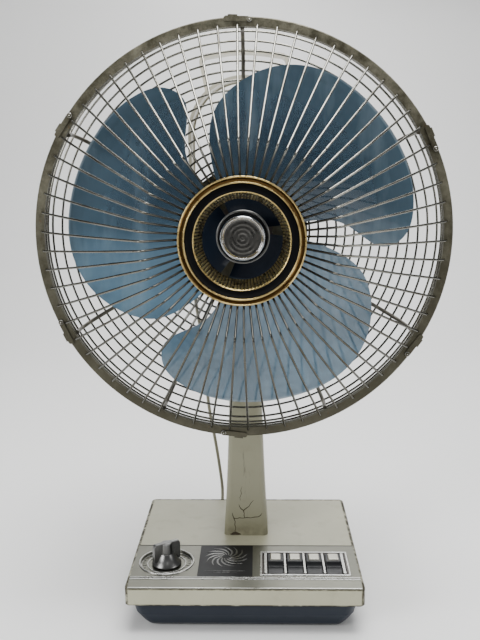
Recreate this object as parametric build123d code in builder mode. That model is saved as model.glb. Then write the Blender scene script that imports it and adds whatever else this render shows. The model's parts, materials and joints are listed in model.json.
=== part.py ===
"""Desk fan on a push-button base: three blades in a two-part wire guard, with tilt and oscillation.

Millimetres, +Z up, +X to the right as seen from the front, the fan blows towards -Y.
The origin is on the table, under the middle of the fan.
"""
from build123d import *
import os
from math import cos, pi, radians, sin, sqrt, tan

os.makedirs("parts", exist_ok=True)

# ---- driving dimensions ----
PLATE_Z = 54.0          # top of the base cover
BASE_W, BASE_D = 246.0, 228.0
FEET_H = 3.0
SKIRT_BOTTOM = 34.4     # lower edge of the cover's skirt
LIP_TOP = 51.8          # front edge of the cover, below the sloping strip of the panel
SHEET = 2.0             # wall of the cover

AXIS_Z = 407.4          # fan axis above the table
RIM_Y = -60.0           # plane of the guard's rim
GUARD_R = 207.5
WIRE_R = 1.1
WIRE_COUNT = 66
FIRST_WIRE = 91.2       # degrees from +X, seen from the front
KINK_R, KINK_FORWARD = 89.0, 96.0
REAR_DEPTH = 62.0       # rim plane to the flat back of the rear guard
BLADE_R = 181.0
HUB_R = 24.0
SHAFT_R = 4.0
RUN = 0.05              # radial clearance of a running fit
GAP = 0.4               # air between parts that move past each other

CASE_R = 57.8           # motor cover
BELL_R = 54.0
KINK_ROUNDING = 1.26    # the bend at a kink stops short of its corner
FRONT_Y = RIM_Y - KINK_FORWARD - WIRE_R + KINK_ROUNDING
REAR_Y = -FRONT_Y       # rear end of the motor cover

SWING_Y = 50.0          # vertical oscillation axis
TILT_Y, TILT_Z = 48.0, 322.0
EAR_R = 12.0
CRANK_X, CRANK_Y = 20.0, 111.0
CRANK_THROW = 16.7
LINK_X = 26.0
LINK_Z = 338.5

PANEL_W, PANEL_REAR, PANEL_FOLD, PANEL_FRONT = 240.0, -21.0, -97.0, -113.0
PANEL_T = 1.2
PANEL_TOP = PLATE_Z + PANEL_T
KNOB_X, KNOB_Y = -85.0, -60.0
DISH_R, DISH_DROP = 28.5, 2.5
SPINDLE_R = 3.0
BEZEL = 0.8             # how far the dish's and the key window's rims stand above the panel
KEYS_X, KEYS_Y = 63.5, -64.0
KEY_PITCH, KEY_W, KEY_L = 20.6, 16.4, 44.0
WINDOW_W, WINDOW_D = 95.0, 53.0
LABEL_X, LABEL_Y = -21.0, -58.0

FAN_AXIS = Axis((0, 0, AXIS_Z), (0, 1, 0))
SIDE = Plane(origin=(0, 0, AXIS_Z), x_dir=(0, 1, 0), z_dir=(1, 0, 0))


def facing_forward(y):
    """A plane across the fan axis, looking out of the front of the fan."""
    return Plane(origin=(0, y, AXIS_Z), x_dir=(1, 0, 0), z_dir=(0, -1, 0))


def turned(*points):
    """A piece of revolution about the fan axis, from a closed outline of (y, radius) corners."""
    with BuildPart() as piece:
        with BuildSketch(SIDE):
            with BuildLine():
                Polyline(*points, close=True)
            make_face()
        revolve(axis=FAN_AXIS)
    return piece.part


def polar(radius, degrees):
    return (radius * cos(radians(degrees)), radius * sin(radians(degrees)))


def save(piece, name):
    piece.label = name
    export_step(piece, f"parts/{name}.step")


# ======================= base =======================
TUB_TOP_IN, TUB_BOTTOM_IN, TUB_WALL = 5.0, 15.0, 2.5
TUB_FLOOR = FEET_H + TUB_WALL


def tub_solid(wall):
    """The tub's outer form, or its hollow: it tapers and curves in towards the floor."""
    inset = TUB_BOTTOM_IN + wall
    with BuildPart() as solid:
        for height, extra, corner in ((FEET_H + wall, 4, 10), (FEET_H + 4 + wall, 0, 14),
                                      (FEET_H + 16, TUB_TOP_IN - 11, 12), (SKIRT_BOTTOM + 4, -10, 10)):
            with BuildSketch(Plane.XY.offset(height)):
                RectangleRounded(BASE_W - 2 * (inset + extra), BASE_D - 2 * (inset + extra), corner - wall)
        loft(ruled=True)
    return solid.part


with BuildPart() as base_tub:
    add(tub_solid(0))
    add(tub_solid(TUB_WALL), mode=Mode.SUBTRACT)
save(base_tub.part, "base_tub")

PLATE_EDGE = 3.0
COLUMN_HOLE, COLUMN_HOLE_Y = 30.0, 47.0
GLANDS = [(-33, 42), (70, 42)]      # motor lead, mains inlet
GLAND_R, GLAND_FLANGE = 4.0, 3.0
COVER_CORNER, COVER_EDGE = 6.0, 2.5
with BuildPart() as base_cover:
    with BuildSketch(Plane.XY.offset(SKIRT_BOTTOM)):
        RectangleRounded(BASE_W, BASE_D, COVER_CORNER)
    extrude(amount=PLATE_Z - SKIRT_BOTTOM)
    fillet(base_cover.edges().group_by(Axis.Z)[-1], COVER_EDGE)
    with BuildSketch(Plane.XY.offset(SKIRT_BOTTOM)):
        RectangleRounded(BASE_W - 2 * SHEET, BASE_D - 2 * SHEET, COVER_CORNER - SHEET)
    extrude(amount=PLATE_Z - SKIRT_BOTTOM - SHEET, mode=Mode.SUBTRACT)
    # the front of the top is open under the panel, and the front wall is cut down to the lip
    with BuildSketch(Plane.XY.offset(SKIRT_BOTTOM)):
        with Locations((0, (PANEL_REAR + PANEL_FRONT) / 2 - PLATE_EDGE / 2)):
            Rectangle(PANEL_W - 2 * PLATE_EDGE, PANEL_REAR - PANEL_FRONT - PLATE_EDGE)
    extrude(amount=PLATE_Z, mode=Mode.SUBTRACT)
    with BuildSketch(Plane.YZ.offset(-BASE_W)):
        with BuildLine():
            Polyline((PANEL_FOLD, PLATE_Z), (-BASE_D, PLATE_Z), (-BASE_D, LIP_TOP),
                     (PANEL_FRONT, LIP_TOP), close=True)
        make_face()
    extrude(amount=2 * BASE_W, mode=Mode.SUBTRACT)
    with BuildSketch(Plane.XY.offset(PLATE_Z)):
        with Locations((0, COLUMN_HOLE_Y)):
            Rectangle(COLUMN_HOLE, COLUMN_HOLE)
    extrude(amount=-2 * SHEET, mode=Mode.SUBTRACT)
    with BuildSketch(Plane.XZ.offset(-BASE_D / 2 - GLAND_FLANGE)):
        with Locations(*GLANDS):
            Circle(GLAND_R)
    extrude(amount=4 * GLAND_FLANGE, mode=Mode.SUBTRACT)
save(base_cover.part, "base_cover")

with BuildPart() as cord_glands:
    with BuildSketch(Plane.XZ.offset(-BASE_D / 2 - GLAND_FLANGE)):
        with Locations(*GLANDS):
            Circle(GLAND_R + 2)
    extrude(amount=GLAND_FLANGE)
    with BuildSketch(Plane.XZ.offset(-BASE_D / 2)):
        with Locations(*GLANDS):
            Circle(GLAND_R)
    extrude(amount=2 * SHEET)
    with BuildSketch(Plane.XZ.offset(-BASE_D / 2 - GLAND_FLANGE)):
        with Locations(*GLANDS):
            Circle(GLAND_R / 2)
    extrude(amount=GLAND_FLANGE + 3 * SHEET, mode=Mode.SUBTRACT)
save(cord_glands.part, "cord_glands")

FOOT_X, FOOT_Y, FOOT_R = 90.0, 82.0, 9.0
with BuildPart() as rubber_feet:
    with BuildSketch():
        with GridLocations(2 * FOOT_X, 2 * FOOT_Y, 2, 2):
            Circle(FOOT_R)
    extrude(amount=FEET_H)
    chamfer(rubber_feet.edges().group_by(Axis.Z)[0], 0.8)
save(rubber_feet.part, "rubber_feet")

BALLAST_W, BALLAST_D, BALLAST_T = 190.0, 172.0, 6.0
with BuildPart() as ballast_plate:
    with BuildSketch(Plane.XY.offset(TUB_FLOOR)):
        RectangleRounded(BALLAST_W, BALLAST_D, 6)
        with GridLocations(2 * FOOT_X, 2 * FOOT_Y, 2, 2):
            Circle(FOOT_R, mode=Mode.SUBTRACT)
    extrude(amount=BALLAST_T)
save(ballast_plate.part, "ballast_plate")
CORE_FLOOR = TUB_FLOOR + BALLAST_T

CORE_FOOT, CORE_FOOT_T = 62.0, 4.0
SCREW_R, SCREW_HEAD = 4.0, 2.4
with BuildPart() as base_screws:
    with BuildSketch(Plane.XY.offset(CORE_FLOOR + CORE_FOOT_T)):
        with Locations((0, COLUMN_HOLE_Y)):
            with GridLocations(48, 48, 2, 2):
                Circle(SCREW_R)
    extrude(amount=SCREW_HEAD)
    chamfer(base_screws.edges().group_by(Axis.Z)[-1], 0.7)
save(base_screws.part, "base_screws")

CORE_IN, CORE_OUT = 10.0, 13.0     # the core's two ears, from the middle
CORE_SHEET = CORE_OUT - CORE_IN
with BuildPart() as column_core:
    with BuildSketch(Plane.YZ.offset(CORE_IN)):
        with Locations((TILT_Y, (TILT_Z + CORE_FLOOR) / 2)):
            Rectangle(2 * EAR_R, TILT_Z - CORE_FLOOR)
        with Locations((TILT_Y, TILT_Z)):
            Circle(EAR_R)
            Circle(SHAFT_R + RUN, mode=Mode.SUBTRACT)
    extrude(amount=CORE_SHEET)
    mirror(about=Plane.YZ)
    with BuildSketch(Plane.XY.offset(CORE_FLOOR)):
        with Locations((0, TILT_Y + EAR_R - CORE_SHEET / 2)):
            Rectangle(2 * CORE_OUT, CORE_SHEET)
    extrude(amount=TILT_Z - CORE_FLOOR - 40)
    with BuildSketch(Plane.XY.offset(CORE_FLOOR)):
        with Locations((0, COLUMN_HOLE_Y)):
            RectangleRounded(CORE_FOOT, CORE_FOOT, 5)
    extrude(amount=CORE_FOOT_T)
save(column_core.part, "column_core")

# width, front face and rear face of the column at each height above the cover
COLUMN_SECTIONS = [(0, 51, 7, 70), (60, 44.5, 12, 69), (120, 39.8, 17, 68),
                   (180, 36.4, 22, 67), (254, 33.5, 27.5, 66)]
COLUMN_WALL = 2.2


def column_solid(wall):
    with BuildPart() as solid:
        for height, width, front, rear in COLUMN_SECTIONS:
            with BuildSketch(Plane.XY.offset(PLATE_Z + height)):
                with Locations((0, (front + rear) / 2)):
                    RectangleRounded(width - 2 * wall, rear - front - 2 * wall, 6 - wall)
        loft()
    return solid.part


with BuildPart() as column_shell:
    add(column_solid(0))
    add(column_solid(COLUMN_WALL), mode=Mode.SUBTRACT)
save(column_shell.part, "column_shell")

with BuildPart() as control_panel:
    with BuildSketch(Plane.YZ.offset(-PANEL_W / 2)):
        with BuildLine():
            Polyline((PANEL_REAR, PLATE_Z), (PANEL_FOLD, PLATE_Z), (PANEL_FRONT, LIP_TOP),
                     (PANEL_FRONT, LIP_TOP + PANEL_T), (PANEL_FOLD, PANEL_TOP),
                     (PANEL_REAR, PANEL_TOP), close=True)
        make_face()
    extrude(amount=PANEL_W)
    with BuildSketch(Plane.XY.offset(PLATE_Z)):
        with Locations((KNOB_X, KNOB_Y)):
            Circle(DISH_R)
        with Locations((KEYS_X, KEYS_Y)):
            Rectangle(WINDOW_W, WINDOW_D)
    extrude(amount=PANEL_T, mode=Mode.SUBTRACT)
    with BuildSketch(Plane.XY.offset(PLATE_Z - DISH_DROP)):
        with Locations((KNOB_X, KNOB_Y)):
            Circle(DISH_R + 1)
    extrude(amount=PANEL_TOP + BEZEL - PLATE_Z + DISH_DROP)
    with BuildSketch(Plane.XY.offset(PLATE_Z - DISH_DROP + PANEL_T)):
        with Locations((KNOB_X, KNOB_Y)):
            Circle(DISH_R - 0.5)
    extrude(amount=2 * DISH_DROP, mode=Mode.SUBTRACT)
    with BuildSketch(Plane.XY.offset(PLATE_Z - DISH_DROP)):
        with Locations((KNOB_X, KNOB_Y)):
            Circle(2 * SPINDLE_R)
    extrude(amount=2 * DISH_DROP, mode=Mode.SUBTRACT)
save(control_panel.part, "control_panel")

with BuildPart() as label_plate:
    with BuildSketch(Plane.XY.offset(PANEL_TOP)):
        with Locations((LABEL_X, LABEL_Y)):
            RectangleRounded(58, 73, 1.5)
    extrude(amount=0.5)
save(label_plate.part, "label_plate")

FRAME_FLOOR = PLATE_Z - 6
with BuildPart() as key_frame:
    with BuildSketch(Plane.XY.offset(FRAME_FLOOR)):
        with Locations((KEYS_X, KEYS_Y)):
            Rectangle(WINDOW_W - GAP, WINDOW_D - GAP)
    extrude(amount=PANEL_TOP + BEZEL - FRAME_FLOOR)
    with BuildSketch(Plane.XY.offset(PLATE_Z - 2)):
        with Locations((KEYS_X, KEYS_Y)):
            Rectangle(WINDOW_W - 7, WINDOW_D - 6)
    extrude(amount=10, mode=Mode.SUBTRACT)
    with BuildSketch(Plane.XY.offset(FRAME_FLOOR)):
        with Locations((KEYS_X, KEYS_Y)):
            with GridLocations(KEY_PITCH, KEY_PITCH, 3, 1):
                Rectangle(2, WINDOW_D - 6.1)
    extrude(amount=PANEL_TOP - FRAME_FLOOR + 0.3)
    with BuildSketch(Plane.XY.offset(FRAME_FLOOR)):
        with Locations((KEYS_X, KEYS_Y)):
            with GridLocations(KEY_PITCH, KEY_PITCH, 4, 1):
                Rectangle(KEY_W + 2 * GAP, KEY_L + 2 * GAP)
    extrude(amount=20, mode=Mode.SUBTRACT)
save(key_frame.part, "key_frame")

SWITCH_TOP = 36.0
STEM_W, STEM_T, STEM_BOTTOM = 10.0, 4.0, 28.0
SLOT_DEPTH = 14.0       # the switch's slots leave the stems room for their travel
with BuildPart() as switch_block:
    with BuildSketch(Plane.XY.offset(CORE_FLOOR + 3)):
        with Locations((KEYS_X, KEYS_Y)):
            Rectangle(88, 34)
    extrude(amount=SWITCH_TOP - CORE_FLOOR - 3)
    fillet(switch_block.edges().filter_by(Axis.Z), 2)
    with BuildSketch(Plane.XY.offset(SWITCH_TOP)):
        with Locations((KEYS_X, KEYS_Y)):
            with GridLocations(KEY_PITCH, KEY_PITCH, 4, 1):
                Rectangle(STEM_W + 2 * GAP, STEM_T + 2 * GAP)
    extrude(amount=-SLOT_DEPTH, mode=Mode.SUBTRACT)
save(switch_block.part, "switch_block")

KEY_BOTTOM, KEY_SHOULDER, KEY_CREST = 49.5, 57.0, 61.5
for index in range(4):
    key_x = KEYS_X + (index - 1.5) * KEY_PITCH
    with BuildPart() as key:
        with BuildSketch(Plane.YZ.offset(key_x - KEY_W / 2)):
            with BuildLine():
                Polyline((KEYS_Y - KEY_L / 2, KEY_BOTTOM), (KEYS_Y + KEY_L / 2, KEY_BOTTOM),
                         (KEYS_Y + KEY_L / 2, KEY_SHOULDER - 1), (KEYS_Y + 13, KEY_SHOULDER),
                         (KEYS_Y + 11, KEY_CREST), (KEYS_Y - 9, KEY_CREST),
                         (KEYS_Y - 12, KEY_SHOULDER), (KEYS_Y - KEY_L / 2, KEY_SHOULDER - 1), close=True)
            make_face()
        extrude(amount=KEY_W)
        fillet(key.edges().filter_by(Axis.X).group_by(Axis.Z)[-1], 1.2)
        with BuildSketch(Plane.XY.offset(STEM_BOTTOM)):
            with Locations((key_x, KEYS_Y)):
                Rectangle(STEM_W, STEM_T)
        extrude(amount=KEY_BOTTOM + 2 - STEM_BOTTOM)
    save(key.part, f"key_{index + 1}")

TIMER_W, TIMER_TOP = 44.0, 44.0
with BuildPart() as timer_body:
    with BuildSketch(Plane.XY.offset(CORE_FLOOR + 3)):
        with Locations((KNOB_X, KNOB_Y)):
            RectangleRounded(TIMER_W, TIMER_W, 4)
    extrude(amount=TIMER_TOP - CORE_FLOOR - 3)
    with BuildSketch(Plane.XY.offset(TIMER_TOP)):
        with Locations((KNOB_X, KNOB_Y)):
            Circle(SPINDLE_R + 2)
    extrude(amount=5)
    with BuildSketch(Plane.XY.offset(TIMER_TOP + 5)):
        with Locations((KNOB_X, KNOB_Y)):
            Circle(SPINDLE_R + RUN)
    extrude(amount=-22, mode=Mode.SUBTRACT)
save(timer_body.part, "timer_body")

KNOB_BASE = PLATE_Z - DISH_DROP + PANEL_T + 1.0
KNOB_TOP = 78.0
KNOB_R, WING_T = 16.0, 6.4
WING_TURN = 32.0
SPINDLE_BOTTOM = 30.0
with BuildPart() as timer_knob:
    with BuildSketch(Plane.XY.offset(KNOB_BASE)):
        with Locations((KNOB_X, KNOB_Y)):
            Circle(KNOB_R)
    extrude(amount=7)
    chamfer(timer_knob.edges().group_by(Axis.Z)[-1], 2.5)
    with BuildSketch(Plane.XY.offset(KNOB_BASE + 5)):
        with Locations(Location((KNOB_X, KNOB_Y, 0), (0, 0, WING_TURN))):
            RectangleRounded(2 * KNOB_R, WING_T, WING_T / 4)
        with Locations((KNOB_X, KNOB_Y)):
            Circle(6)
    extrude(amount=KNOB_TOP - KNOB_BASE - 5)
    fillet(timer_knob.faces().sort_by(Axis.Z)[-1].edges(), 1.0)
    with BuildSketch(Plane.XY.offset(SPINDLE_BOTTOM)):
        with Locations((KNOB_X, KNOB_Y)):
            Circle(SPINDLE_R)
    extrude(amount=KNOB_BASE - SPINDLE_BOTTOM)
save(timer_knob.part, "timer_knob")

CAPACITOR_X, CAPACITOR_Y = 70.0, 60.0
with BuildPart() as capacitor:
    with BuildSketch(Plane.XY.offset(CORE_FLOOR + 0.5)):
        with Locations((CAPACITOR_X, CAPACITOR_Y)):
            RectangleRounded(24, 48, 4)
    extrude(amount=26)
    fillet(capacitor.edges().group_by(Axis.Z)[-1], 2)
save(capacitor.part, "capacitor")

# ======================= neck: tilts on the column =======================
FLANGE_BOTTOM = TILT_Z + EAR_R + 0.5
FLANGE_TOP = FLANGE_BOTTOM + 3.3
BOSS_R, POST_R = 12.0, 6.0
BOSS_TOP = LINK_Z + 3.4
POST_BOTTOM, POST_TOP = TILT_Z + 7, 352.0
LINK_PIN_R, LINK_T = 2.0, 2.8
with BuildPart() as neck_casting:
    with BuildSketch(Plane.YZ.offset(-CORE_IN + 0.5)):
        with Locations((TILT_Y, TILT_Z)):
            Circle(EAR_R - 0.5)
        with Locations((TILT_Y, (TILT_Z + FLANGE_BOTTOM) / 2)):
            Rectangle(2 * EAR_R - 1, FLANGE_BOTTOM - TILT_Z + 1)
    extrude(amount=2 * CORE_IN - 1)
    with BuildSketch(Plane.XY.offset(FLANGE_BOTTOM)):
        with Locations((0, SWING_Y)):
            Circle(20)
        with Locations((LINK_X / 2, SWING_Y)):
            Rectangle(LINK_X, 10)
        with Locations((LINK_X, SWING_Y)):
            Circle(5)
    extrude(amount=FLANGE_TOP - FLANGE_BOTTOM)
    with BuildSketch(Plane.XY.offset(FLANGE_TOP)):
        with Locations((0, SWING_Y)):
            Circle(BOSS_R)
    extrude(amount=BOSS_TOP - FLANGE_TOP)
    with BuildSketch(Plane.XY.offset(FLANGE_TOP)):
        with Locations((LINK_X, SWING_Y)):
            Circle(LINK_PIN_R)
    extrude(amount=3.4)
    with BuildSketch(Plane.XY.offset(BOSS_TOP)):
        with Locations((0, SWING_Y)):
            Circle(POST_R)
    extrude(amount=POST_BOTTOM - BOSS_TOP, mode=Mode.SUBTRACT)
    with BuildSketch(Plane.YZ.offset(-CORE_OUT)):
        with Locations((TILT_Y, TILT_Z)):
            Circle(SHAFT_R + RUN)
    extrude(amount=2 * CORE_OUT, mode=Mode.SUBTRACT)
save(neck_casting.part, "neck_casting")

with BuildPart() as pivot_post:
    with BuildSketch(Plane.XY.offset(POST_BOTTOM)):
        with Locations((0, SWING_Y)):
            Circle(POST_R)
    extrude(amount=POST_TOP - POST_BOTTOM)
    chamfer(pivot_post.edges().group_by(Axis.Z)[-1], 0.8)
save(pivot_post.part, "pivot_post")

with BuildPart() as tilt_knob:
    with BuildSketch(Plane.YZ.offset(-CORE_OUT - 3)):
        with Locations((TILT_Y, TILT_Z)):
            Circle(SHAFT_R)
    extrude(amount=2 * CORE_OUT + 8)
    with BuildSketch(Plane.YZ.offset(CORE_OUT + 4.5)):
        with Locations((TILT_Y, TILT_Z)):
            Circle(11.5)
            with PolarLocations(12.7, 10):
                Circle(2.6, mode=Mode.SUBTRACT)
    extrude(amount=15)
    fillet(tilt_knob.faces().sort_by(Axis.X)[-1].edges(), 1.2)
    with BuildSketch(Plane.YZ.offset(-CORE_OUT - 3.5)):
        with Locations((TILT_Y, TILT_Z)):
            RegularPolygon(7, 6)
    extrude(amount=3)
save(tilt_knob.part, "tilt_knob")

# the link's far end lies under the crank's pin, which stops just above it
link_anchor = Vector(LINK_X, SWING_Y)
crank_pin = Vector(CRANK_X + CRANK_THROW, CRANK_Y)
with BuildPart() as link_arm:
    with BuildSketch(Plane.XY.offset(LINK_Z)):
        SlotCenterPoint((link_anchor + crank_pin) / 2, crank_pin, 8)
        with Locations(link_anchor):
            Circle(LINK_PIN_R + RUN, mode=Mode.SUBTRACT)
        with Locations(crank_pin):
            Circle(LINK_PIN_R + GAP, mode=Mode.SUBTRACT)
    extrude(amount=LINK_T)
save(link_arm.part, "link_arm")

# ======================= head: motor =======================
BELL_FRONT, BELL_SPLIT, BELL_REAR = 5.5, 52.0, 94.0
BORE_R = 8.0
with BuildPart() as motor_front_bell:
    add(turned((-3, BORE_R), (-3, 20), (BELL_FRONT, 20), (BELL_FRONT, BELL_R), (BELL_SPLIT, BELL_R),
               (BELL_SPLIT, BELL_R - 3), (BELL_FRONT + 3, BELL_R - 3), (BELL_FRONT + 3, 16), (14, 16),
               (14, BORE_R)))
    with BuildSketch(facing_forward(BELL_FRONT + 4)):
        with PolarLocations(36, 6):
            SlotOverall(24, 9, rotation=90)
    extrude(amount=6, mode=Mode.SUBTRACT)
save(motor_front_bell.part, "motor_front_bell")

with BuildPart() as motor_rear_bell:
    add(turned((BELL_SPLIT, BELL_R), (BELL_REAR, BELL_R), (BELL_REAR, BORE_R), (83, BORE_R), (83, 16),
               (BELL_REAR - 3, 16), (BELL_REAR - 3, BELL_R - 3), (BELL_SPLIT, BELL_R - 3)))
    with BuildSketch(facing_forward(BELL_REAR + 1)):
        with PolarLocations(38, 4, start_angle=45):
            SlotOverall(22, 8, rotation=90)
    extrude(amount=6, mode=Mode.SUBTRACT)
save(motor_rear_bell.part, "motor_rear_bell")

with BuildPart() as motor_bearings:
    add(turned((0, SHAFT_R + RUN), (0, BORE_R), (13, BORE_R), (13, SHAFT_R + RUN)))
    add(turned((84, SHAFT_R + RUN), (84, BORE_R), (93, BORE_R), (93, SHAFT_R + RUN)))
save(motor_bearings.part, "motor_bearings")

CORE_R, AIR_R = BELL_R - 3.05, 28.0
with BuildPart() as stator_core:
    add(turned((38, AIR_R), (38, CORE_R), (68, CORE_R), (68, AIR_R)))
    with BuildSketch(facing_forward(68)):
        with PolarLocations(35, 16):
            Rectangle(10, 4.5)
        with PolarLocations(AIR_R + 1, 16):
            Rectangle(4, 2)
    extrude(amount=30, mode=Mode.SUBTRACT)
save(stator_core.part, "stator_core")

with BuildPart() as stator_windings:
    for start, end in ((24, 37.8), (68.2, 81)):
        add(turned((start, 31), (start, 42), (end, 42), (end, 31)))
    fillet(stator_windings.edges().filter_by(GeomType.CIRCLE), 3)
save(stator_windings.part, "stator_windings")

CASE_FRONT = 7.0
CASE_WALL = 2.2
CASE_STRAIGHT = 98.0
CASE_END_R = 24.0


def case_solid(wall):
    """The motor cover's outer form, or its hollow, with a rounded rear end."""
    side_r = CASE_R - wall
    with BuildPart() as solid:
        with BuildSketch(SIDE):
            with BuildLine():
                Line((CASE_FRONT, 0), (CASE_FRONT, side_r))
                Line((CASE_FRONT, side_r), (CASE_STRAIGHT, side_r))
                TangentArc((CASE_STRAIGHT, side_r), (REAR_Y - wall, CASE_END_R - wall), tangent=(1, 0))
                Line((REAR_Y - wall, CASE_END_R - wall), (REAR_Y - wall, 0))
                Line((REAR_Y - wall, 0), (CASE_FRONT, 0))
            make_face()
        revolve(axis=FAN_AXIS)
    return solid.part


LEAD_EXIT = 225.0       # where the motor lead leaves the cover, degrees from +X seen from the front
LEAD_EXIT_Y = 84.0
exit_x, exit_up = polar(CASE_R - 1, LEAD_EXIT)
lead_exit_plane = Plane(origin=(exit_x, LEAD_EXIT_Y, AXIS_Z + exit_up), z_dir=(exit_x, 0, exit_up))
with BuildPart() as motor_cover:
    add(case_solid(0))
    add(case_solid(CASE_WALL), mode=Mode.SUBTRACT)
    with BuildSketch(Plane.XY.offset(AXIS_Z - 45)):
        with Locations((0, SWING_Y)):
            Rectangle(38, 46)
        with Locations((CRANK_X, CRANK_Y)):
            Circle(8)
    extrude(amount=-30, mode=Mode.SUBTRACT)
    with BuildSketch(Plane.XY.offset(AXIS_Z)):
        with Locations((CRANK_X, CRANK_Y)):
            Circle(3.2)
    extrude(amount=80, mode=Mode.SUBTRACT)
    with BuildSketch(facing_forward(REAR_Y - 8)):
        with PolarLocations(15, 10):
            SlotOverall(12, 3)
    extrude(amount=-20, mode=Mode.SUBTRACT)
    with BuildSketch(lead_exit_plane):
        Circle(2.2)
    extrude(amount=6, both=True, mode=Mode.SUBTRACT)
save(motor_cover.part, "motor_cover")

with BuildPart() as pivot_bracket:
    with BuildSketch(Plane.XY.offset(BOSS_TOP + GAP)):
        with Locations((0, SWING_Y)):
            RectangleRounded(36, 44, 4)
            Circle(POST_R + RUN, mode=Mode.SUBTRACT)
    extrude(amount=18)
    add(turned((20, 0), (20, BELL_R + 0.05), (80, BELL_R + 0.05), (80, 0)), mode=Mode.SUBTRACT)
save(pivot_bracket.part, "pivot_bracket")

WORM_R = 5.8
WHEEL_R = CRANK_X - WORM_R - GAP
CASE_T = 2.5
GEARS_X, GEARS_W, GEARS_H, GEARS_D = 12.5, 49.0, 42.0, 34.0
with BuildPart() as gear_case:
    with BuildSketch(Plane.XZ.offset(-BELL_REAR)):
        with Locations((GEARS_X, AXIS_Z)):
            Rectangle(GEARS_W, GEARS_H)
    extrude(amount=-GEARS_D)
    fillet(gear_case.edges().filter_by(Axis.Y), 4)
    with BuildSketch(Plane.XZ.offset(-BELL_REAR - CASE_T)):
        with Locations((GEARS_X, AXIS_Z)):
            RectangleRounded(GEARS_W - 2 * CASE_T, GEARS_H - 2 * CASE_T, 2)
    extrude(amount=2 * CASE_T - GEARS_D, mode=Mode.SUBTRACT)
    with BuildSketch(Plane.XZ.offset(-BELL_REAR)):
        with Locations((0, AXIS_Z)):
            Circle(7)
    extrude(amount=-10, mode=Mode.SUBTRACT)
    with BuildSketch(Plane.XY.offset(AXIS_Z - 30)):
        with Locations((CRANK_X, CRANK_Y)):
            Circle(SHAFT_R + RUN)
    extrude(amount=60, mode=Mode.SUBTRACT)
save(gear_case.part, "gear_case")

WHEEL_T, TEETH = 8.0, 40
CRANK_BOTTOM = LINK_Z + 4
CRANK_T = 2.4
with BuildPart() as worm_wheel:
    with BuildSketch(Plane.XY.offset(AXIS_Z - WHEEL_T / 2)):
        with Locations((CRANK_X, CRANK_Y)):
            Circle(WHEEL_R)
            with PolarLocations(WHEEL_R, TEETH):
                Circle(0.7, mode=Mode.SUBTRACT)
    extrude(amount=WHEEL_T)
    with BuildSketch(Plane.XY.offset(CRANK_BOTTOM + CRANK_T / 2)):
        with Locations((CRANK_X, CRANK_Y)):
            Circle(SHAFT_R)
    extrude(amount=AXIS_Z + 28 - CRANK_BOTTOM - CRANK_T / 2)
    with BuildSketch(Plane.XY.offset(CRANK_BOTTOM)):
        with Locations((CRANK_X, CRANK_Y)):
            Circle(CRANK_THROW + 3.3)
    extrude(amount=CRANK_T)
    with BuildSketch(Plane.XY.offset(LINK_Z + LINK_T + GAP)):
        with Locations(crank_pin):
            Circle(LINK_PIN_R)
    extrude(amount=1)
save(worm_wheel.part, "worm_wheel")

with BuildPart() as clutch_knob:
    with BuildSketch(Plane.XY.offset(AXIS_Z + 30)):
        with Locations((CRANK_X, CRANK_Y)):
            Circle(2.5)
    extrude(amount=28)
    with BuildSketch(Plane.XY.offset(AXIS_Z + 56)):
        with Locations((CRANK_X, CRANK_Y)):
            Circle(8)
    extrude(amount=13)
    fillet(clutch_knob.faces().sort_by(Axis.Z)[-1].edges(), 2.5)
save(clutch_knob.part, "clutch_knob")

# ---- carrying handle: a wide channel arch with a narrow grip on top ----
ARCH_R, ARCH_CENTRE, ARCH_FOOT = 62.0, AXIS_Z + 104, AXIS_Z - 14
ARCH_Y, ARCH_WIDTH = 65.0, 50.0


def arch_band(y, width, thick):
    """An inverted U across the fan, as a band that runs from y towards the front."""
    with BuildPart() as band:
        with BuildSketch(Plane.XZ.offset(-y)):
            for radius, mode in ((ARCH_R, Mode.ADD), (ARCH_R - thick, Mode.SUBTRACT)):
                with Locations((0, ARCH_CENTRE)):
                    Circle(radius, mode=mode)
                with Locations((0, (ARCH_CENTRE + ARCH_FOOT) / 2)):
                    Rectangle(2 * radius, ARCH_CENTRE - ARCH_FOOT, mode=mode)
        extrude(amount=width)
    return band.part


EDGE_T, EDGE_DEEP, BAND_T = 2.5, 3.9, 2.5
with BuildPart() as carry_handle:
    add(arch_band(ARCH_Y + ARCH_WIDTH / 2, ARCH_WIDTH, BAND_T))
    add(arch_band(ARCH_Y + ARCH_WIDTH / 2, EDGE_T, EDGE_DEEP))
    add(arch_band(ARCH_Y - ARCH_WIDTH / 2 + EDGE_T, EDGE_T, EDGE_DEEP))
save(carry_handle.part, "carry_handle")

with BuildPart() as head_screws:
    with BuildSketch(Plane.YZ.offset(ARCH_R)):
        with Locations((ARCH_Y - 12, AXIS_Z), (ARCH_Y + 12, AXIS_Z)):
            Circle(SCREW_R)
    extrude(amount=SCREW_HEAD)
    mirror(about=Plane.YZ)
    with BuildSketch(facing_forward(BELL_REAR)):
        with PolarLocations(47, 4, start_angle=90):
            Circle(SCREW_R)
    extrude(amount=-SCREW_HEAD)
save(head_screws.part, "head_screws")

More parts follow.
